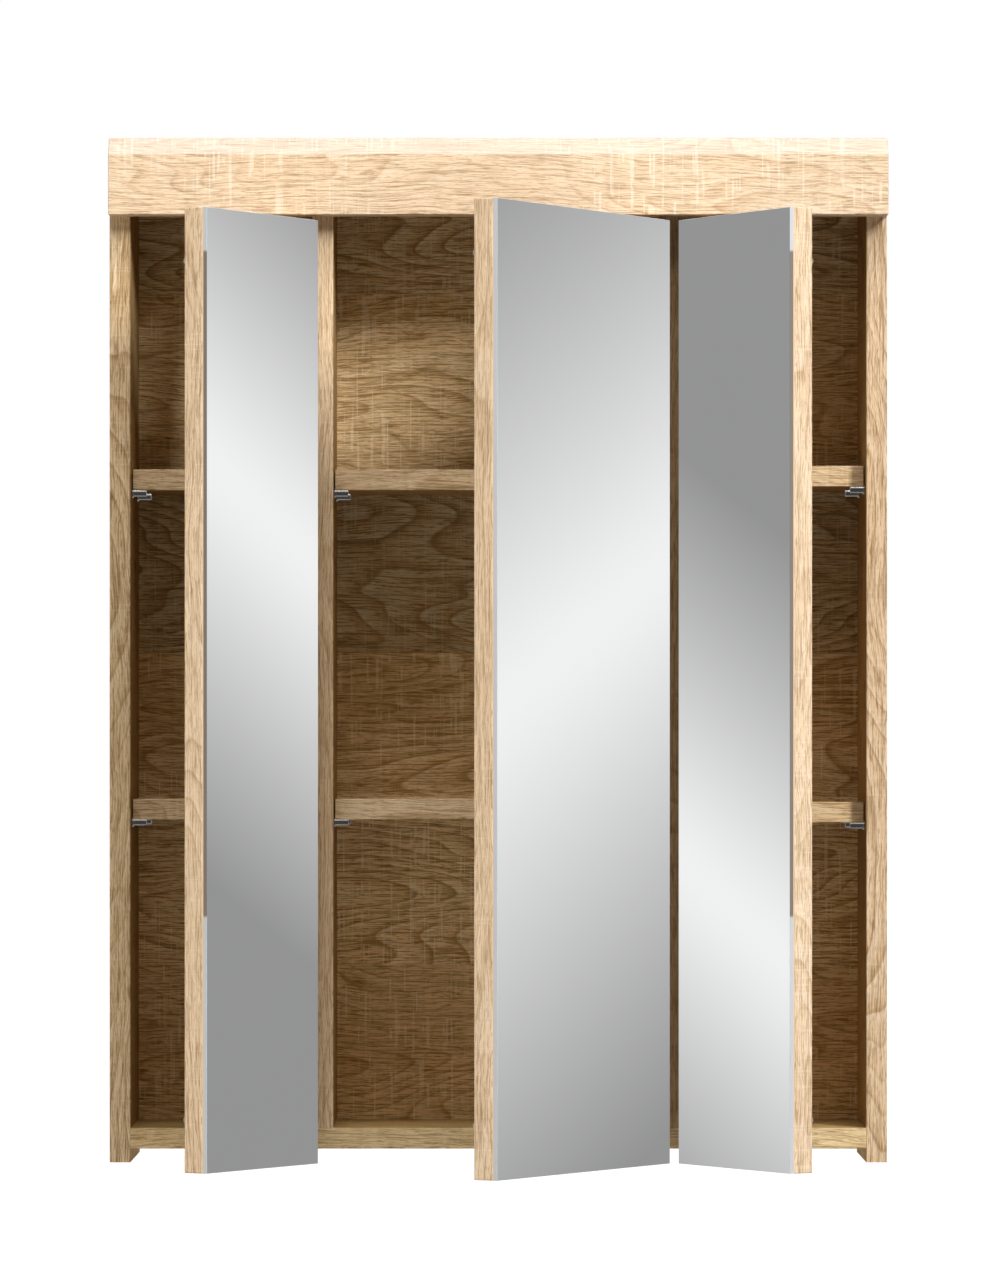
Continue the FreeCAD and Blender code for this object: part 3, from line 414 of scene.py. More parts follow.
        colour = tree.blend(tree.math("MULTIPLY", late, 0.60), self.light, self.mid)
        colour = tree.blend(tree.math("MULTIPLY", early, 0.40), colour, self.pale)
        colour = tree.blend(tree.step(broad, 0.35, 0.75, 0.0, 0.40), colour, self.mid)
        colour = tree.blend(tree.math("MULTIPLY", tone, 0.70), colour, self.mid)
        broken_line = tree.math("MULTIPLY", line, tree.step(fibres, 0.30, 0.62, 0.10, 0.50))
        colour = tree.blend(broken_line, colour, self.dark)
        deep = tree.math("MULTIPLY", dashes, tree.math("MULTIPLY_ADD", late, 0.25, 0.46))
        for pore in (tree.step(fibres, 0.48, 0.64, 0.0, 0.56), deep, tree.math("MULTIPLY", flecks, 0.38)):
            colour = tree.blend(tree.math("MULTIPLY", pore, takes["Pores"]), colour, self.dark)
        colour = tree.blend(tree.math("MULTIPLY", saw, self.saw_share), colour, self.pale)
        planked = tree.math("GREATER_THAN", takes["Planks"], 1.0)
        level = tree.math("MULTIPLY_ADD", tree.math("SUBTRACT", shift, 0.5),
                          tree.math("MULTIPLY", planked, self.plank_contrast),
                          tree.math("MULTIPLY_ADD", planked, self.plank_lift, 1.0))
        colour = tree.blend(1.0, colour, tree.join(level, level, level), "MULTIPLY")
        # Painted shade: a golden tint for the warmer colour of shade on boards that lie mostly in shade.
        colour = tree.blend(takes["Warm Shade"], colour, self.warm_shade, "MULTIPLY")
        # Painted shade: the colour is darkened towards the shade colour, for boards and faces that lie in
        # shade.
        tree.feed(tree.blend(takes["Depth"], colour, self.shade, "MULTIPLY"), gives["Color"])
        rough = tree.math("MULTIPLY_ADD", dashes, 0.12, 0.48)
        tree.feed(tree.math("MULTIPLY_ADD", saw, 0.08, rough), gives["Roughness"])
        height = tree.math("MULTIPLY_ADD", dashes, -0.7, tree.math("MULTIPLY", fibres, -0.5))
        tree.feed(tree.math("MULTIPLY_ADD", saw, 0.5, height), gives["Height"])
        return tree.tree

    def planks(self, tree: Tree, across: Any, count: Any) -> tuple[Any, Any]:
        """Split a wide board's decor into printed planks of uneven width.

        Args:
            tree: the group's tree.
            across: place across the grain.
            count: planks for each metre.

        Returns:
            The plank's tone and its shift along the grain, both 0 to 1.
        """
        cells = tree.node("ShaderNodeTexVoronoi", voronoi_dimensions="1D")
        tree.feed(across, cells.inputs["W"])
        tree.feed(count, cells.inputs["Scale"])
        random = tree.node("ShaderNodeSeparateColor")
        tree.feed(cells.outputs["Color"], random.inputs[0])
        return random.outputs[0], random.outputs[1]

    def inner_shade_mask(self, tree: Tree, start: float, amount: float) -> bpy.types.NodeSocket:
        """Mask of painted shade on the faces inside the carcass, behind the front edges, where shade falls in
        the bays.

        Args:
            tree: the material's tree.
            start: level of Y at which the painted shade begins.
            amount: strength of the painted shade.

        Returns:
            The mask times its strength.
        """
        parts = tree.node("ShaderNodeSeparateXYZ")
        tree.feed(object_place(tree), parts.inputs[0])
        skin, fade = 1.0 * MM, 4.0 * MM
        mask = tree.step(parts.outputs["Y"], start, start + fade, 0.0, amount)
        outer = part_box("right_side_panel")[1]
        for test, place, limit in (("LESS_THAN", tree.math("ABSOLUTE", parts.outputs["X"]), outer[0] - skin),
                                   ("LESS_THAN", parts.outputs["Y"], outer[1] - skin),
                                   ("LESS_THAN", parts.outputs["Z"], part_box("top_panel")[1][2] - skin),
                                   ("GREATER_THAN", parts.outputs["Z"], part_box("bottom_panel")[0][2] + skin)):
            mask = tree.math("MULTIPLY", mask, tree.math(test, place, limit))
        return mask

    def raw_back(self, tree: Tree, colour: Any, level: float) -> bpy.types.NodeSocket:
        """Leave the face behind a level as raw pressed board, without decor.

        Args:
            tree: the material's tree.
            colour: the decor's colour.
            level: level of Y behind which the board is raw.

        Returns:
            The colour with its raw rear.
        """
        place = object_place(tree)
        parts = tree.node("ShaderNodeSeparateXYZ")
        tree.feed(place, parts.inputs[0])
        felt = tree.blend(tree.step(tree.noise(place, scale=260.0, detail=5.0, roughness=0.7), 0.35, 0.65),
                          self.raw_light, self.raw_dark)
        return tree.blend(tree.math("GREATER_THAN", parts.outputs["Y"], level), colour, felt)

    def paint_top_light(self, tree: Tree, colour: Any, amount: float) -> bpy.types.NodeSocket:
        """Paint light onto the faces that look up: paler and cooler, as where light from above falls on them.

        Args:
            tree: the material's tree.
            colour: the decor's colour.
            amount: how far these faces go towards the painted light.

        Returns:
            The colour with painted light on its upper faces.
        """
        facing = tree.node("ShaderNodeSeparateXYZ")
        tree.feed(tree.node("ShaderNodeNewGeometry").outputs["True Normal"], facing.inputs[0])
        return tree.blend(tree.step(facing.outputs["Z"], 0.2, 0.5, 0.0, amount), colour, self.painted_top_light)

    def material(self, name: str, grain: Vector, face: Vector, seed: int, figure: float = 1.0,
                 saw: float = 1.0, planks: float = ONE_PLANK, shade_depth: float = 0.0,
                 inside: Optional[tuple[float, float]] = None, raw_from: Optional[float] = None,
                 pores: float = 1.0, painted_top_light: float = 0.0, warm_shade: float = 0.0) -> bpy.types.Material:
        """Oak for one board, along its own grain.

        Args:
            name: name of the material.
            grain: direction of the grain.
            face: direction across the board's wide face.
            seed: number that moves the pattern, so that no two boards match.
            figure: strength of the growth rings.
            saw: strength of the saw marks.
            planks: printed planks for each metre across the grain.
            shade_depth: how far the colour is darkened towards the shade colour: painted shade.
            inside: where the painted shade of the inner faces starts behind the front, and how deep it is.
            raw_from: level of Y behind which the board has no decor, or None.
            pores: strength of the dark pores.
            painted_top_light: how far the faces that look up go towards painted light from above.
            warm_shade: how far the colour goes towards a golden tint that paints the warmer colour of shade.

        Returns:
            The material.
        """
        material, tree, shader = new_material(name)
        third = grain.cross(face)
        turn = Matrix((grain, face, third)).to_euler("XYZ")
        shift = (self.seed_step[0] * seed, self.seed_step[1] * seed, 0.0)
        values = {"Vector": object_place(tree, tuple(turn), shift, self.fineness), "Saw": saw,
                  "Figure": figure, "Planks": planks, "Depth": shade_depth, "Pores": pores, "Warm Shade": warm_shade}
        if inside:
            values["Depth"] = tree.math("ADD", shade_depth, self.inner_shade_mask(tree, *inside))
        made = place_group(tree, self.group(), values)
        colour = made.outputs["Color"]
        if raw_from is not None:
            colour = self.raw_back(tree, colour, raw_from)
        if painted_top_light:
            colour = self.paint_top_light(tree, colour, painted_top_light)
        tree.feed(colour, shader.inputs["Base Color"])
        tree.feed(made.outputs["Roughness"], shader.inputs["Roughness"])
        tree.feed(bump(tree, made.outputs["Height"], self.relief_strength, self.relief),
                  shader.inputs["Normal"])
        shader.inputs["Specular IOR Level"].default_value = 0.0
        return material


@dataclass(frozen=True)
class Metal:
    """Plated or cast metal with fine scuffs that change its gloss."""

    name: str
    colour: Colour
    rough_low: float
    rough_high: float
    grain_scale: float
    bump_depth: float

    def group(self) -> bpy.types.NodeTree:
        """Build the scuff group once and hand it out again later.

        Returns:
            The shared node group.
        """
        known = bpy.data.node_groups.get("metal_scuffs")
        if known:
            return known
        tree = new_group("metal_scuffs",
                         [("Vector", "NodeSocketVector", None), ("Scale", "NodeSocketFloat", 1.0)],
                         [("Scuff", "NodeSocketFloat"), ("Height", "NodeSocketFloat")])
        takes, gives = tree.tree.nodes["takes"].outputs, tree.tree.nodes["gives"].inputs
        cloudy = tree.node("ShaderNodeTexNoise")
        tree.feed(takes["Vector"], cloudy.inputs["Vector"])
        tree.feed(takes["Scale"], cloudy.inputs["Scale"])
        cloudy.inputs["Detail"].default_value = 5.0
        fine = tree.node("ShaderNodeTexNoise")
        tree.feed(takes["Vector"], fine.inputs["Vector"])
        tree.feed(tree.math("MULTIPLY", takes["Scale"], 9.0), fine.inputs["Scale"])
        tree.feed(tree.step(cloudy.outputs["Fac"], 0.3, 0.7), gives["Scuff"])
        tree.feed(fine.outputs["Fac"], gives["Height"])
        return tree.tree

    def material(self) -> bpy.types.Material:
        """Build the metal's material.

        Returns:
            The material.
        """
        material, tree, shader = new_material(self.name)
        made = place_group(tree, self.group(), {"Vector": object_place(tree), "Scale": self.grain_scale})
        dull = tuple(0.86 * part for part in self.colour)
        tree.feed(tree.blend(made.outputs["Scuff"], self.colour, dull), shader.inputs["Base Color"])
        span = self.rough_high - self.rough_low
        tree.feed(tree.math("MULTIPLY_ADD", made.outputs["Scuff"], span, self.rough_low),
                  shader.inputs["Roughness"])
        tree.feed(bump(tree, made.outputs["Height"], 0.2, self.bump_depth), shader.inputs["Normal"])
        shader.inputs["Metallic"].default_value = 1.0
        return material


@dataclass(frozen=True)
class SilveredGlass:
    """Mirror: a clean silvered face, a polished edge and a painted back."""

    silver: Colour = (0.95, 0.955, 0.955)
    edge: Colour = (0.52, 0.55, 0.58)
    edge_deep: Colour = (0.44, 0.49, 0.52)
    edge_painted_reflection: Colour = (0.20, 0.175, 0.15)
    tape: Colour = (0.70, 0.53, 0.35)
    tape_gauge: float = 1.0 * MM
    dark_fade: float = 1.5 * MM
    paint: Colour = (0.30, 0.31, 0.32)

    def face(self) -> bpy.types.Material:
        """Silvered face with the faintest haze from wiping.

        Returns:
            The material.
        """
        material, tree, shader = new_material("mirror_face")
        haze = tree.noise(object_place(tree), scale=9.0, detail=4.0)
        dim = tuple(0.985 * part for part in self.silver)
        tree.feed(tree.blend(haze, self.silver, dim), shader.inputs["Base Color"])
        shader.inputs["Roughness"].default_value = 0.0
        shader.inputs["Metallic"].default_value = 1.0
        return material

    def polished_edge(self, name: str, reflection_stretch: Optional[tuple[float, float]], outward: Vector,
                      back: float) -> bpy.types.Material:
        """Pale edge of the glass, with the bonding tape behind it.

        Over the stretch where it would mirror the wood, the edge is painted dark: a painted reflection.

        Args:
            name: name of the material.
            reflection_stretch: lowest and highest level of the painted dark reflection, or None.
            outward: direction in which the mirror faces.
            back: distance of the mirror's back along that direction.

        Returns:
            The material.
        """
        material, tree, shader = new_material(name)
        place = object_place(tree)
        tint = tree.noise(place, scale=14.0, detail=3.0)
        colour = tree.blend(tree.step(tint, 0.3, 0.8, 0.0, 0.35), self.edge, self.edge_deep)
        # Painted reflection: a dark stretch where the edge would mirror the wood.
        if reflection_stretch:
            parts = tree.node("ShaderNodeSeparateXYZ")
            tree.feed(place, parts.inputs[0])
            level, (low, high), fade = parts.outputs["Z"], reflection_stretch, self.dark_fade
            inside = tree.math("MULTIPLY", tree.step(level, low - fade, low + fade),
                               tree.step(level, high - fade, high + fade, 1.0, 0.0))
            colour = tree.blend(inside, colour, self.edge_painted_reflection)
        through = tree.node("ShaderNodeVectorMath", operation="DOT_PRODUCT")
        tree.feed(place, through.inputs[0])
        through.inputs[1].default_value = outward
        taped = tree.math("LESS_THAN", through.outputs["Value"], back + self.tape_gauge)
        colour = tree.blend(taped, colour, self.tape)
        tree.feed(colour, shader.inputs["Base Color"])
        tree.feed(tree.step(tint, 0.3, 0.7, 0.16, 0.26), shader.inputs["Roughness"])
        shader.inputs["Specular IOR Level"].default_value = 0.25
        return material

    def back_paint(self) -> bpy.types.Material:
        """Grey protective paint on the back of the silvering.

        Returns:
            The material.
        """
        material, tree, shader = new_material("mirror_back_paint")
        speckle = tree.noise(object_place(tree), scale=300.0, detail=3.0)
        tree.feed(tree.blend(speckle, self.paint, tuple(1.25 * part for part in self.paint)),
                  shader.inputs["Base Color"])
        tree.feed(tree.step(speckle, 0.3, 0.7, 0.5, 0.7), shader.inputs["Roughness"])
        return material


@dataclass(frozen=True)
class SoftPlastic:
    """Clear soft plastic of the door bumpers."""

    colour: Colour = (0.50, 0.42, 0.33)

    def material(self) -> bpy.types.Material:
        """Build the plastic's material.

        Returns:
            The material.
        """
        material, tree, shader = new_material("soft_clear_plastic")
        cloud = tree.noise(object_place(tree), scale=500.0, detail=3.0)
        tree.feed(tree.blend(cloud, self.colour, tuple(0.9 * part for part in self.colour)),
                  shader.inputs["Base Color"])
        tree.feed(tree.step(cloud, 0.3, 0.7, 0.28, 0.42), shader.inputs["Roughness"])
        shader.inputs["Transmission Weight"].default_value = 0.9
        shader.inputs["IOR"].default_value = 1.45
        return material


@dataclass(frozen=True)
class Palette:
    """Every finish of the cabinet."""

    oak: SawnOak = SawnOak()
    glass: SilveredGlass = SilveredGlass()
    nickel: Metal = Metal("nickel_plate", (0.46, 0.45, 0.43), 0.16, 0.30, 180.0, 0.02 * MM)
    zinc: Metal = Metal("cast_zinc", (0.40, 0.40, 0.39), 0.38, 0.55, 420.0, 0.06 * MM)
    plastic: SoftPlastic = SoftPlastic()


def dress(node: str, *materials: bpy.types.Material) -> None:
    """Put materials into a CAD node's slots.

    Args:
        node: name of the node.
        materials: one material for each slot; the last one fills the slots left over.
    """
    mesh = frame["nodes"][node].data
    if not mesh.materials:
        mesh.materials.append(None)
    for index in range(len(mesh.materials)):
        mesh.materials[index] = materials[min(index, len(materials) - 1)]
    LOG.info("dressed %s", node)


@dataclass
class Board:
    """One decor board of the carcass or a shelf."""

    node: str
    grain: Grain
    seed: int
    figure: float = 1.0
    saw: float = 1.0
    planks: float = ONE_PLANK
    shade_depth: float = 0.0
    inside: float = 0.7
    raw_rear: bool = False
    pores: float = 1.0
    painted_top_light: float = 0.0
    warm_shade: float = 0.0
    shade_setback: float = 1.2 * MM
    raw_skin: float = 0.5 * MM

    def dress(self, oak: SawnOak) -> None:
        """Give the board its own oak.

        Args:
            oak: the oak finish.
        """
        along = Vector((1, 0, 0)) if self.grain is Grain.ACROSS else UP
        face = Vector((0, 1, 0))
        low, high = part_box(self.node)
        # Painted shade on the inner faces begins just behind the front edge.
        inside = (low[1] + self.shade_setback, self.inside) if self.inside else None
        raw_from = high[1] - self.raw_skin if self.raw_rear else None
        dress(self.node, oak.material(f"oak_{self.node}", along, face, self.seed, self.figure, self.saw,
                                      self.planks, self.shade_depth, inside, raw_from, self.pores, self.painted_top_light,
                                      self.warm_shade))


@dataclass
class Carcass:
    """Boards of the body, the shelves and the crown."""

    boards: list[Board] = field(default_factory=lambda: [
        Board("left_side_panel", Grain.UPRIGHT, 1, figure=1.2, saw=0.25, pores=1.3, warm_shade=0.4),
        Board("right_side_panel", Grain.UPRIGHT, 2, figure=1.2, saw=0.25, shade_depth=0.23, inside=0.5, pores=1.2),
        Board("top_panel", Grain.ACROSS, 3, saw=0.4),
        Board("bottom_panel", Grain.ACROSS, 4, figure=0.7, saw=0.3, pores=1.2, warm_shade=0.8),
        Board("left_partition", Grain.UPRIGHT, 5, figure=0.7, saw=0.25, shade_depth=0.06, warm_shade=0.2),
        # The right partition's front edge gets strong painted shade, for the shade between the two open doors.
        Board("right_partition", Grain.UPRIGHT, 6, figure=0.7, saw=0.25, shade_depth=0.65, inside=0.1),
        # The crown's upper bevel gets painted light from above.
        Board("crown_fascia", Grain.ACROSS, 7, figure=0.6, saw=0.7, inside=0.0, painted_top_light=0.3),
        Board("back_panel", Grain.ACROSS, 8, figure=1.7, saw=0.7, planks=5.4, inside=0.0,
              raw_rear=True, pores=1.6, warm_shade=0.75)])
    # Painted shade on the right bay's shelves.
    shelf_shade_depth: dict[str, float] = field(default_factory=lambda: {"left": 0.0, "middle": 0.0, "right": 0.29})
    # Strength of the painted shade on the faces inside the bays.
    inner_painted_shade: float = 0.74

    def dress(self, palette: Palette) -> None:
        """Dress the body's boards, then the shelves.

        Args:
            palette: the finishes.
        """
        for board in self.boards:
            board.dress(palette.oak)
        seed = len(self.boards)
        for bay in ("left", "middle", "right"):
            for tier in ("lower", "upper"):
                seed += 1
                shade_depth = self.shelf_shade_depth[bay]
                Board(f"{bay}_{tier}_shelf", Grain.ACROSS, seed, figure=0.7, saw=0.3, shade_depth=shade_depth,
                      inside=self.inner_painted_shade - shade_depth, pores=1.15, warm_shade=0.35).dress(palette.oak)


@dataclass
class Fittings:
    """Small metal and wooden pieces that hold the carcass together and carry the shelves."""

    nickel_nodes: tuple[str, ...] = (
        "left_shelf_supports", "middle_shelf_supports", "right_shelf_supports", "cam_bolts", "panel_screws",
        "left_hanger", "right_hanger", "hanger_screws", "hinge_foot_screws", "hinge_arm_screws")
    zinc_nodes: tuple[str, ...] = ("cam_locks",)
    dowel_nodes: tuple[str, ...] = ("carcass_dowels", "crown_dowels")
    dowel_seed: int = 40

    def dress(self, palette: Palette) -> None:
        """Dress the fittings.

        Args:
            palette: the finishes.
        """
        nickel, zinc = palette.nickel.material(), palette.zinc.material()
        for node in self.nickel_nodes:
            dress(node, nickel)
        for node in self.zinc_nodes:
            dress(node, zinc)
        directions = (Vector((1, 0, 0)), Vector((0, 1, 0)))
        for seed, (node, along) in enumerate(zip(self.dowel_nodes, directions), start=self.dowel_seed):
            dress(node, palette.oak.material(f"beech_{node}", along, UP, seed, figure=0.3, saw=0.0))


@dataclass
class Door:
    """One mirror door with its hinges."""

    name: str
    hand: Hand
    seed: int
    painted_reflection_edge: Optional[tuple[float, float]] = None
    angle: float = 60.0
    glass_gauge: float = 4.0 * MM
    arris: float = 0.25 * MM
    steel: tuple[str, ...] = ("hinge_arms", "arm_pins", "hinge_feet", "hinge_cups", "cup_pins", "cup_screws",
                              "main_links", "side_plates")

    def turn(self) -> float:
        """Angle about +Z by which the door stands open."""
        return math.radians(self.angle) * self.hand.value

    def glass_size(self) -> tuple[float, float, float]:
        """Width, gauge and height of the glass, read from its turned box.

        Returns:
            The three sizes in metres.
        """
        low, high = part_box(f"{self.name}_door_mirror")
        cosine, sine = abs(math.cos(self.turn())), abs(math.sin(self.turn()))
        width = (high[0] - low[0] - self.glass_gauge * sine) / cosine
        return width, self.glass_gauge, high[2] - low[2]

    def glass_centre(self) -> Vector:
        """Middle of the glass.

        Returns:
            The point in the row frame.
        """
        low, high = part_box(f"{self.name}_door_mirror")
        return (Vector(low) + Vector(high)) / 2

    def outward(self) -> Vector:
        """Direction in which the mirror faces.

        Returns:
            The unit vector.
        """
        return Matrix.Rotation(self.turn(), 3, "Z") @ Vector((0, -1, 0))

    def build_glass(self, palette: Palette) -> bpy.types.Object:
        """Model the mirror glass with a polished arris round its front.

        Args:
            palette: the finishes.

        Returns:
            The finished piece.
        """
        bpy.ops.object.select_all(action="DESELECT")
        bpy.ops.mesh.primitive_cube_add(size=1.0, scale=self.glass_size())
        glass = bpy.context.object
        glass.name = f"{self.name}_mirror_glass"
        bpy.ops.object.transform_apply(location=False, rotation=False, scale=True)
        front, tight, straight = -self.glass_gauge / 2, 1e-6, 0.99
        bpy.ops.object.mode_set(mode="EDIT")
        bpy.ops.mesh.select_all(action="DESELECT")
        bpy.ops.object.mode_set(mode="OBJECT")
        for edge in glass.data.edges:
            edge.select = all(abs(glass.data.vertices[k].co.y - front) < tight for k in edge.vertices)
        bpy.ops.object.mode_set(mode="EDIT")
        bpy.ops.mesh.select_mode(type="EDGE")
        bpy.ops.mesh.bevel(offset=self.arris, segments=2, affect="EDGES")
        bpy.ops.object.mode_set(mode="OBJECT")
        back = self.glass_centre().dot(self.outward()) - self.glass_gauge / 2
        edge = palette.glass.polished_edge(f"{self.name}_mirror_edge", self.painted_reflection_edge, self.outward(), back)
        for material in (edge, palette.glass.face(), palette.glass.back_paint()):
            glass.data.materials.append(material)
        for face in glass.data.polygons:
            if face.normal.y < -straight:
                face.material_index = 1
            elif face.normal.y > straight:
                face.material_index = 2
        glass.rotation_euler = (0.0, 0.0, self.turn())
        glass.location = self.glass_centre()
        bpy.ops.object.transform_apply(location=True, rotation=True, scale=True)
        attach(glass, f"{self.name}_door")
        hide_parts(f"{self.name}_door_mirror")
        LOG.info("built %s", glass.name)
        return glass

    def dress(self, palette: Palette, nickel: bpy.types.Material) -> None:
        """Dress the board and the hinges.

        Args:
            palette: the finishes.
            nickel: the material of the steel pieces.
        """
        across = Matrix.Rotation(self.turn(), 3, "Z") @ Vector((1, 0, 0))
        dress(f"{self.name}_door_board",
              palette.oak.material(f"oak_{self.name}_door", UP, across, self.seed, figure=0.7, saw=0.3))
        for piece in self.steel:
            dress(f"{self.name}_{piece}", nickel)
        dress(f"{self.name}_door_bumpers", palette.plastic.material())


@dataclass(frozen=True)
class Band:
    """Bright band on a painted reflection card, in shares of the mirror's height, with its greys as seen on
    screen.
    """

    level: float
    slant: float
    reach: float
    dark: float = 0.588
    bright: float = 0.965
    softness: float = 0.045


@dataclass(frozen=True)
class Lamp:
    """One soft lamp: where it hangs, the point it faces, its width and height, its watts and its tint.

    The spread is the opening angle of its beam in degrees, and in_gloss says whether mirrors and metal show
    the lamp itself.
    """

    name: str
    place: Triple
    aim: Triple
    size: tuple[float, float]
    power: float
    colour: Colour
    spread: float = 180.0
    in_gloss: bool = True

    def hang(self) -> None:
        """Hang the lamp and turn it to the point it faces."""
        data = bpy.data.lights.new(self.name, "AREA")
        data.spread = math.radians(self.spread)
        data.shape = "RECTANGLE"
        data.size, data.size_y = self.size
        data.energy = self.power
        data.color = self.colour
        lamp = bpy.data.objects.new(self.name, data)
        lamp.location = self.place
        lamp.rotation_euler = (Vector(self.aim) - Vector(self.place)).to_track_quat("-Z", "Y").to_euler()
        lamp.visible_glossy = self.in_gloss
        bpy.context.collection.objects.link(lamp)


@dataclass
class Studio:
    """Floor, lamps, painted reflection cards, white surround and camera."""

    lens: float = 205.9
    distance: float = 5.65
    carcass_front: float = -0.152
    eye_level: float = -0.4455
    eye_side: float = -0.0014
    rise: float = 0.0898
    floor_drop: float = 0.35
    floor_size: float = 60.0
    floor_greys: tuple[float, float] = (0.46, 0.44)
    glow_span: tuple[float, float] = (1.5, 5.0)
    glow_near: float = 0.65
    ambient_behind: float = 0.50
    ambient_ahead: float = 0.06
    sheen_ahead: Colour = (0.10, 0.095, 0.09)
    sheen_behind: Colour = (0.50, 0.50, 0.50)
    sheen_above: Colour = (0.95, 0.95, 0.95)
    turn_behind: tuple[float, float] = (0.05, 0.35)
    turn_above: tuple[float, float] = (0.2, 0.6)
    sweep_waves: tuple[float, float] = (5.0, 14.0)
    sweep_dark: Colour = (0.34, 0.345, 0.35)
    sweep_bright: Colour = (0.84, 0.85, 0.86)
    lamps: tuple[Lamp, ...] = (
        Lamp("key_lamp", (2.62, -4.2, 2.77), (0.0, -0.15, -0.38), (0.75, 2.0), 342.0, (1.0, 0.985, 0.99)),
        Lamp("top_lamp", (0.0, -1.58, 2.91), (0.0, -0.17, 0.0), (1.6, 1.1), 21.5, (1.0, 0.965, 0.94),
             spread=90.0),
        Lamp("left_lamp", (-2.3, -1.1, -0.8), (0.0, -0.2, -0.55), (0.8, 1.4), 21.5, (1.0, 0.89, 0.71),
             in_gloss=False))

    def eye(self) -> Vector:
        """Where the camera stands."""
        return Vector((self.eye_side, self.carcass_front - self.distance, self.eye_level))

    def camera(self) -> None:
        """Set up a level camera straight in front, with the frame raised as in the photo."""
        data = bpy.data.cameras.new("front_camera")
        data.lens = self.lens
        data.sensor_width = 36.0
        data.shift_y = self.rise
        data.clip_end = 100.0
        camera = bpy.data.objects.new("front_camera", data)
        camera.location = self.eye()
        camera.rotation_euler = (math.radians(90.0), 0.0, 0.0)
        bpy.context.collection.objects.link(camera)
        bpy.context.scene.camera = camera

    def surround(self) -> None:
        """White to the camera, a soft grey sweep in mirrors, and a low sheen and plain light elsewhere."""
        world = bpy.data.worlds.new("white_studio")
        world.use_nodes = True
        bpy.context.scene.world = world
        world.node_tree.nodes.clear()
        tree = Tree(world.node_tree)
        path = tree.node("ShaderNodeLightPath")
        coordinate = tree.node("ShaderNodeTexCoord")
        parts = tree.node("ShaderNodeSeparateXYZ")
        tree.feed(coordinate.outputs["Generated"], parts.inputs[0])
        sideways, upwards = self.sweep_waves
        swing = tree.math("MULTIPLY_ADD", parts.outputs["Z"], upwards,
                          tree.math("MULTIPLY", parts.outputs["X"], sideways))
        sweep = tree.math("MULTIPLY_ADD", tree.math("SINE", swing), 0.5, 0.5)
        grey = tree.blend(sweep, self.sweep_dark, self.sweep_bright)
        behind = parts.outputs["Y"]
        level = tree.step(behind, *self.turn_behind, self.ambient_ahead, self.ambient_behind)
        sheen = tree.blend(tree.step(behind, *self.turn_behind), self.sheen_ahead, self.sheen_behind)
        sheen = tree.blend(tree.step(parts.outputs["Z"], *self.turn_above), sheen, self.sheen_above)
        glossy = tree.blend(path.outputs["Is Singular Ray"], sheen, grey)
        colour = tree.blend(path.outputs["Is Glossy Ray"], tree.join(level, level, level), glossy)
        seen = tree.math("MAXIMUM", path.outputs["Is Camera Ray"], path.outputs["Is Transmission Ray"])
        colour = tree.blend(seen, colour, (1.0, 1.0, 1.0))
        background = tree.node("ShaderNodeBackground")
        tree.feed(colour, background.inputs["Color"])
        output = tree.node("ShaderNodeOutputWorld")
        tree.feed(background.outputs[0], output.inputs["Surface"])

    def floor(self) -> None:
        """Lay a pale floor under the cabinet that keeps its shadow."""
        bpy.ops.object.select_all(action="DESELECT")
        level = CAD_BOX[0][2] - self.floor_drop
        bpy.ops.mesh.primitive_plane_add(size=self.floor_size, location=(0.0, 0.0, level))
        floor = bpy.context.object
        floor.name = "studio_floor"
        material, tree, shader = new_material("pale_floor")
        speckle = tree.noise(object_place(tree), scale=30.0, detail=3.0)
        pale, dim = ((grey, grey, grey) for grey in self.floor_greys)
        tree.feed(tree.blend(speckle, pale, dim), shader.inputs["Base Color"])
        shader.inputs["Roughness"].default_value = 0.9
        shader.inputs["Specular IOR Level"].default_value = 0.0
        path = tree.node("ShaderNodeLightPath")
        reach = tree.node("ShaderNodeVectorMath", operation="LENGTH")
        tree.feed(object_place(tree), reach.inputs[0])
        glow = tree.step(reach.outputs["Value"], *self.glow_span, self.glow_near, 1.0)
        tree.feed(tree.math("MULTIPLY", path.outputs["Is Camera Ray"], glow),
                  shader.inputs["Emission Strength"])
        shader.inputs["Emission Color"].default_value = (1.0, 1.0, 1.0, 1.0)
        floor.data.materials.append(material)

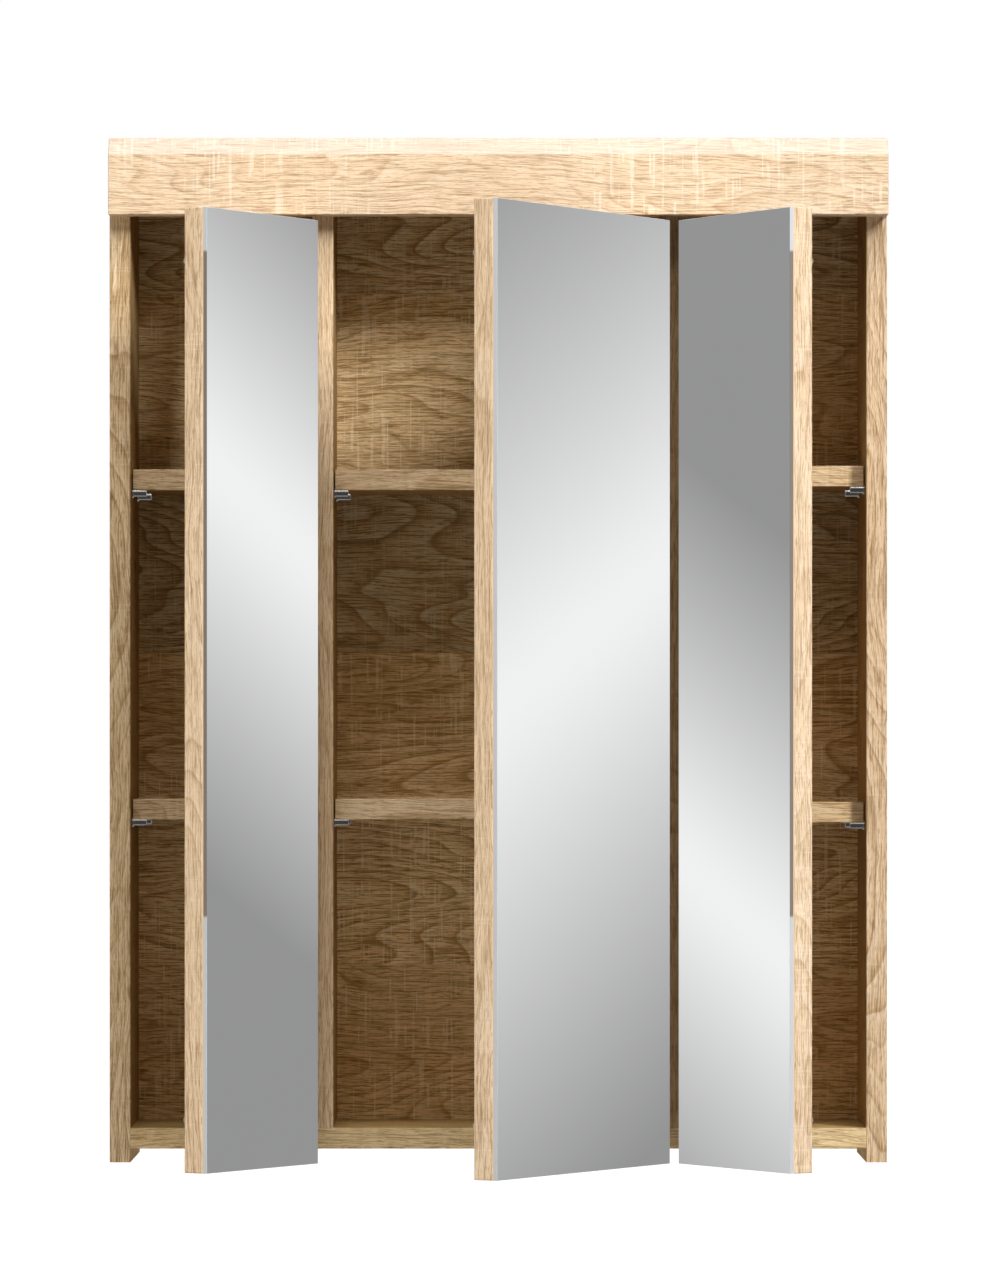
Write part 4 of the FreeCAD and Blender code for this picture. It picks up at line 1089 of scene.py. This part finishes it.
    def card(self, door: Door, band: Band, reach: float = 0.7, spare: float = 1.3,
             whole: float = 1.03) -> None:
        """Stand a graded card that glows only in mirrors, where the camera sees it in a door's mirror: a
        painted reflection.

        Args:
            door: the door whose mirror shows the card.
            band: the greys of the card.
            reach: how far behind the mirror plane's reflection the card stands, in metres.
            spare: how much larger than the mirror's own view the card is, so that its edges can fade out.
            whole: how much larger than that view the part without a fade is.
        """
        normal, centre = door.outward(), door.glass_centre()
        image = self.eye() - 2 * (self.eye() - centre).dot(normal) * normal
        width, _, height = door.glass_size()
        grow = 1.0 + reach / (centre - image).length
        bpy.ops.object.select_all(action="DESELECT")
        bpy.ops.mesh.primitive_plane_add(size=1.0)
        card = bpy.context.object
        card.name = f"{door.name}_reflector_card"
        side = Matrix.Rotation(door.turn(), 3, "Z") @ Vector((1, 0, 0))
        middle = image + (centre - image) * grow
        for vertex in card.data.vertices:
            u, v = vertex.co.x, vertex.co.y
            vertex.co = middle + (side * (u * width) + UP * (v * height)) * grow * spare
        material = bpy.data.materials.new(f"{card.name}_grey")
        material.use_nodes = True
        material.node_tree.nodes.clear()
        tree = Tree(material.node_tree)
        uv = tree.node("ShaderNodeTexCoord")
        parts = tree.node("ShaderNodeSeparateXYZ")
        tree.feed(uv.outputs["UV"], parts.inputs[0])
        level = tree.math("MULTIPLY_ADD", tree.math("SUBTRACT", parts.outputs["X"], 0.5), -band.slant,
                          tree.math("SUBTRACT", parts.outputs["Y"], 0.5))
        away_from_band = tree.math("SUBTRACT", tree.math("MULTIPLY", level, spare), band.level - 0.5)
        square = tree.math("MULTIPLY_ADD", away_from_band, away_from_band, band.softness ** 2)
        gap = tree.math("SUBTRACT", tree.math("SQRT", square), band.softness)
        fall = tree.math("MINIMUM", tree.math("DIVIDE", gap, band.reach), 1.0)
        shown = tree.math("MULTIPLY_ADD", fall, band.dark - band.bright, band.bright)
        # The card glows, though it is no lamp, and only mirrors see it: a painted reflection.
        glow = tree.node("ShaderNodeEmission")
        tree.feed(tree.math("POWER", shown, SCREEN_GAMMA), glow.inputs["Strength"])
        margin = 0.5 * (1.0 - whole / spare)
        cover: Any = 1.0
        for place in (parts.outputs["X"], parts.outputs["Y"]):
            edge = tree.math("SUBTRACT", 0.5, tree.math("ABSOLUTE", tree.math("SUBTRACT", place, 0.5)))
            cover = tree.math("MULTIPLY", cover, tree.step(edge, 0.0, margin))
        faded = tree.node("ShaderNodeMixShader")
        clear = tree.node("ShaderNodeBsdfTransparent")
        for value, socket in zip((cover, clear.outputs[0], glow.outputs[0]), faded.inputs):
            tree.feed(value, socket)
        output = tree.node("ShaderNodeOutputMaterial")
        tree.feed(faded.outputs[0], output.inputs["Surface"])
        card.data.materials.append(material)
        for flag in ("visible_camera", "visible_diffuse", "visible_shadow", "visible_transmission"):
            setattr(card, flag, False)
        LOG.info("stood %s %.2f m away", card.name, (middle - centre).length)

    def build(self) -> None:
        """Set up everything but the cards."""
        bpy.context.scene.view_settings.view_transform = "Standard"
        self.camera()
        self.surround()
        self.floor()
        for lamp in self.lamps:
            lamp.hang()


@dataclass
class Cabinet:
    """The whole object."""

    palette: Palette = field(default_factory=Palette)
    carcass: Carcass = field(default_factory=Carcass)
    fittings: Fittings = field(default_factory=Fittings)
    # The left and right doors' glass edges get a painted dark reflection over this stretch.
    doors: tuple[Door, ...] = (Door("left", Hand.HINGED_RIGHT, 21, (-0.567, -0.067)),
                               Door("middle", Hand.HINGED_RIGHT, 22),
                               Door("right", Hand.HINGED_LEFT, 23, (-0.567, -0.067)))

    def build(self) -> None:
        """Dress the solids and model the mirrors."""
        self.carcass.dress(self.palette)
        self.fittings.dress(self.palette)
        nickel = self.palette.nickel.material()
        for door in self.doors:
            door.build_glass(self.palette)
            door.dress(self.palette, nickel)


def hide_from_mirrors() -> None:
    """Keep the cabinet's own boards out of the mirrors, which show the studio and the painted reflection cards
    alone.
    """
    for item in bpy.context.scene.objects:
        if item.type == "MESH" and "reflector_card" not in item.name:
            item.visible_glossy = False


BANDS: dict[str, Band] = {
    "left": Band(level=0.685, slant=-0.10, reach=0.39),
    "middle": Band(level=0.56, slant=0.157, reach=0.56),
    "right": Band(level=0.272, slant=-0.10, reach=0.39),
}


def main() -> None:
    """Build the cabinet and the studio, and report each piece."""
    logging.basicConfig(level=logging.INFO, format="%(name)s: %(message)s")
    cabinet = Cabinet()
    cabinet.build()
    studio = Studio()
    studio.build()
    for door in cabinet.doors:
        studio.card(door, BANDS[door.name])
    hide_from_mirrors()


if __name__ == "__main__":
    main()
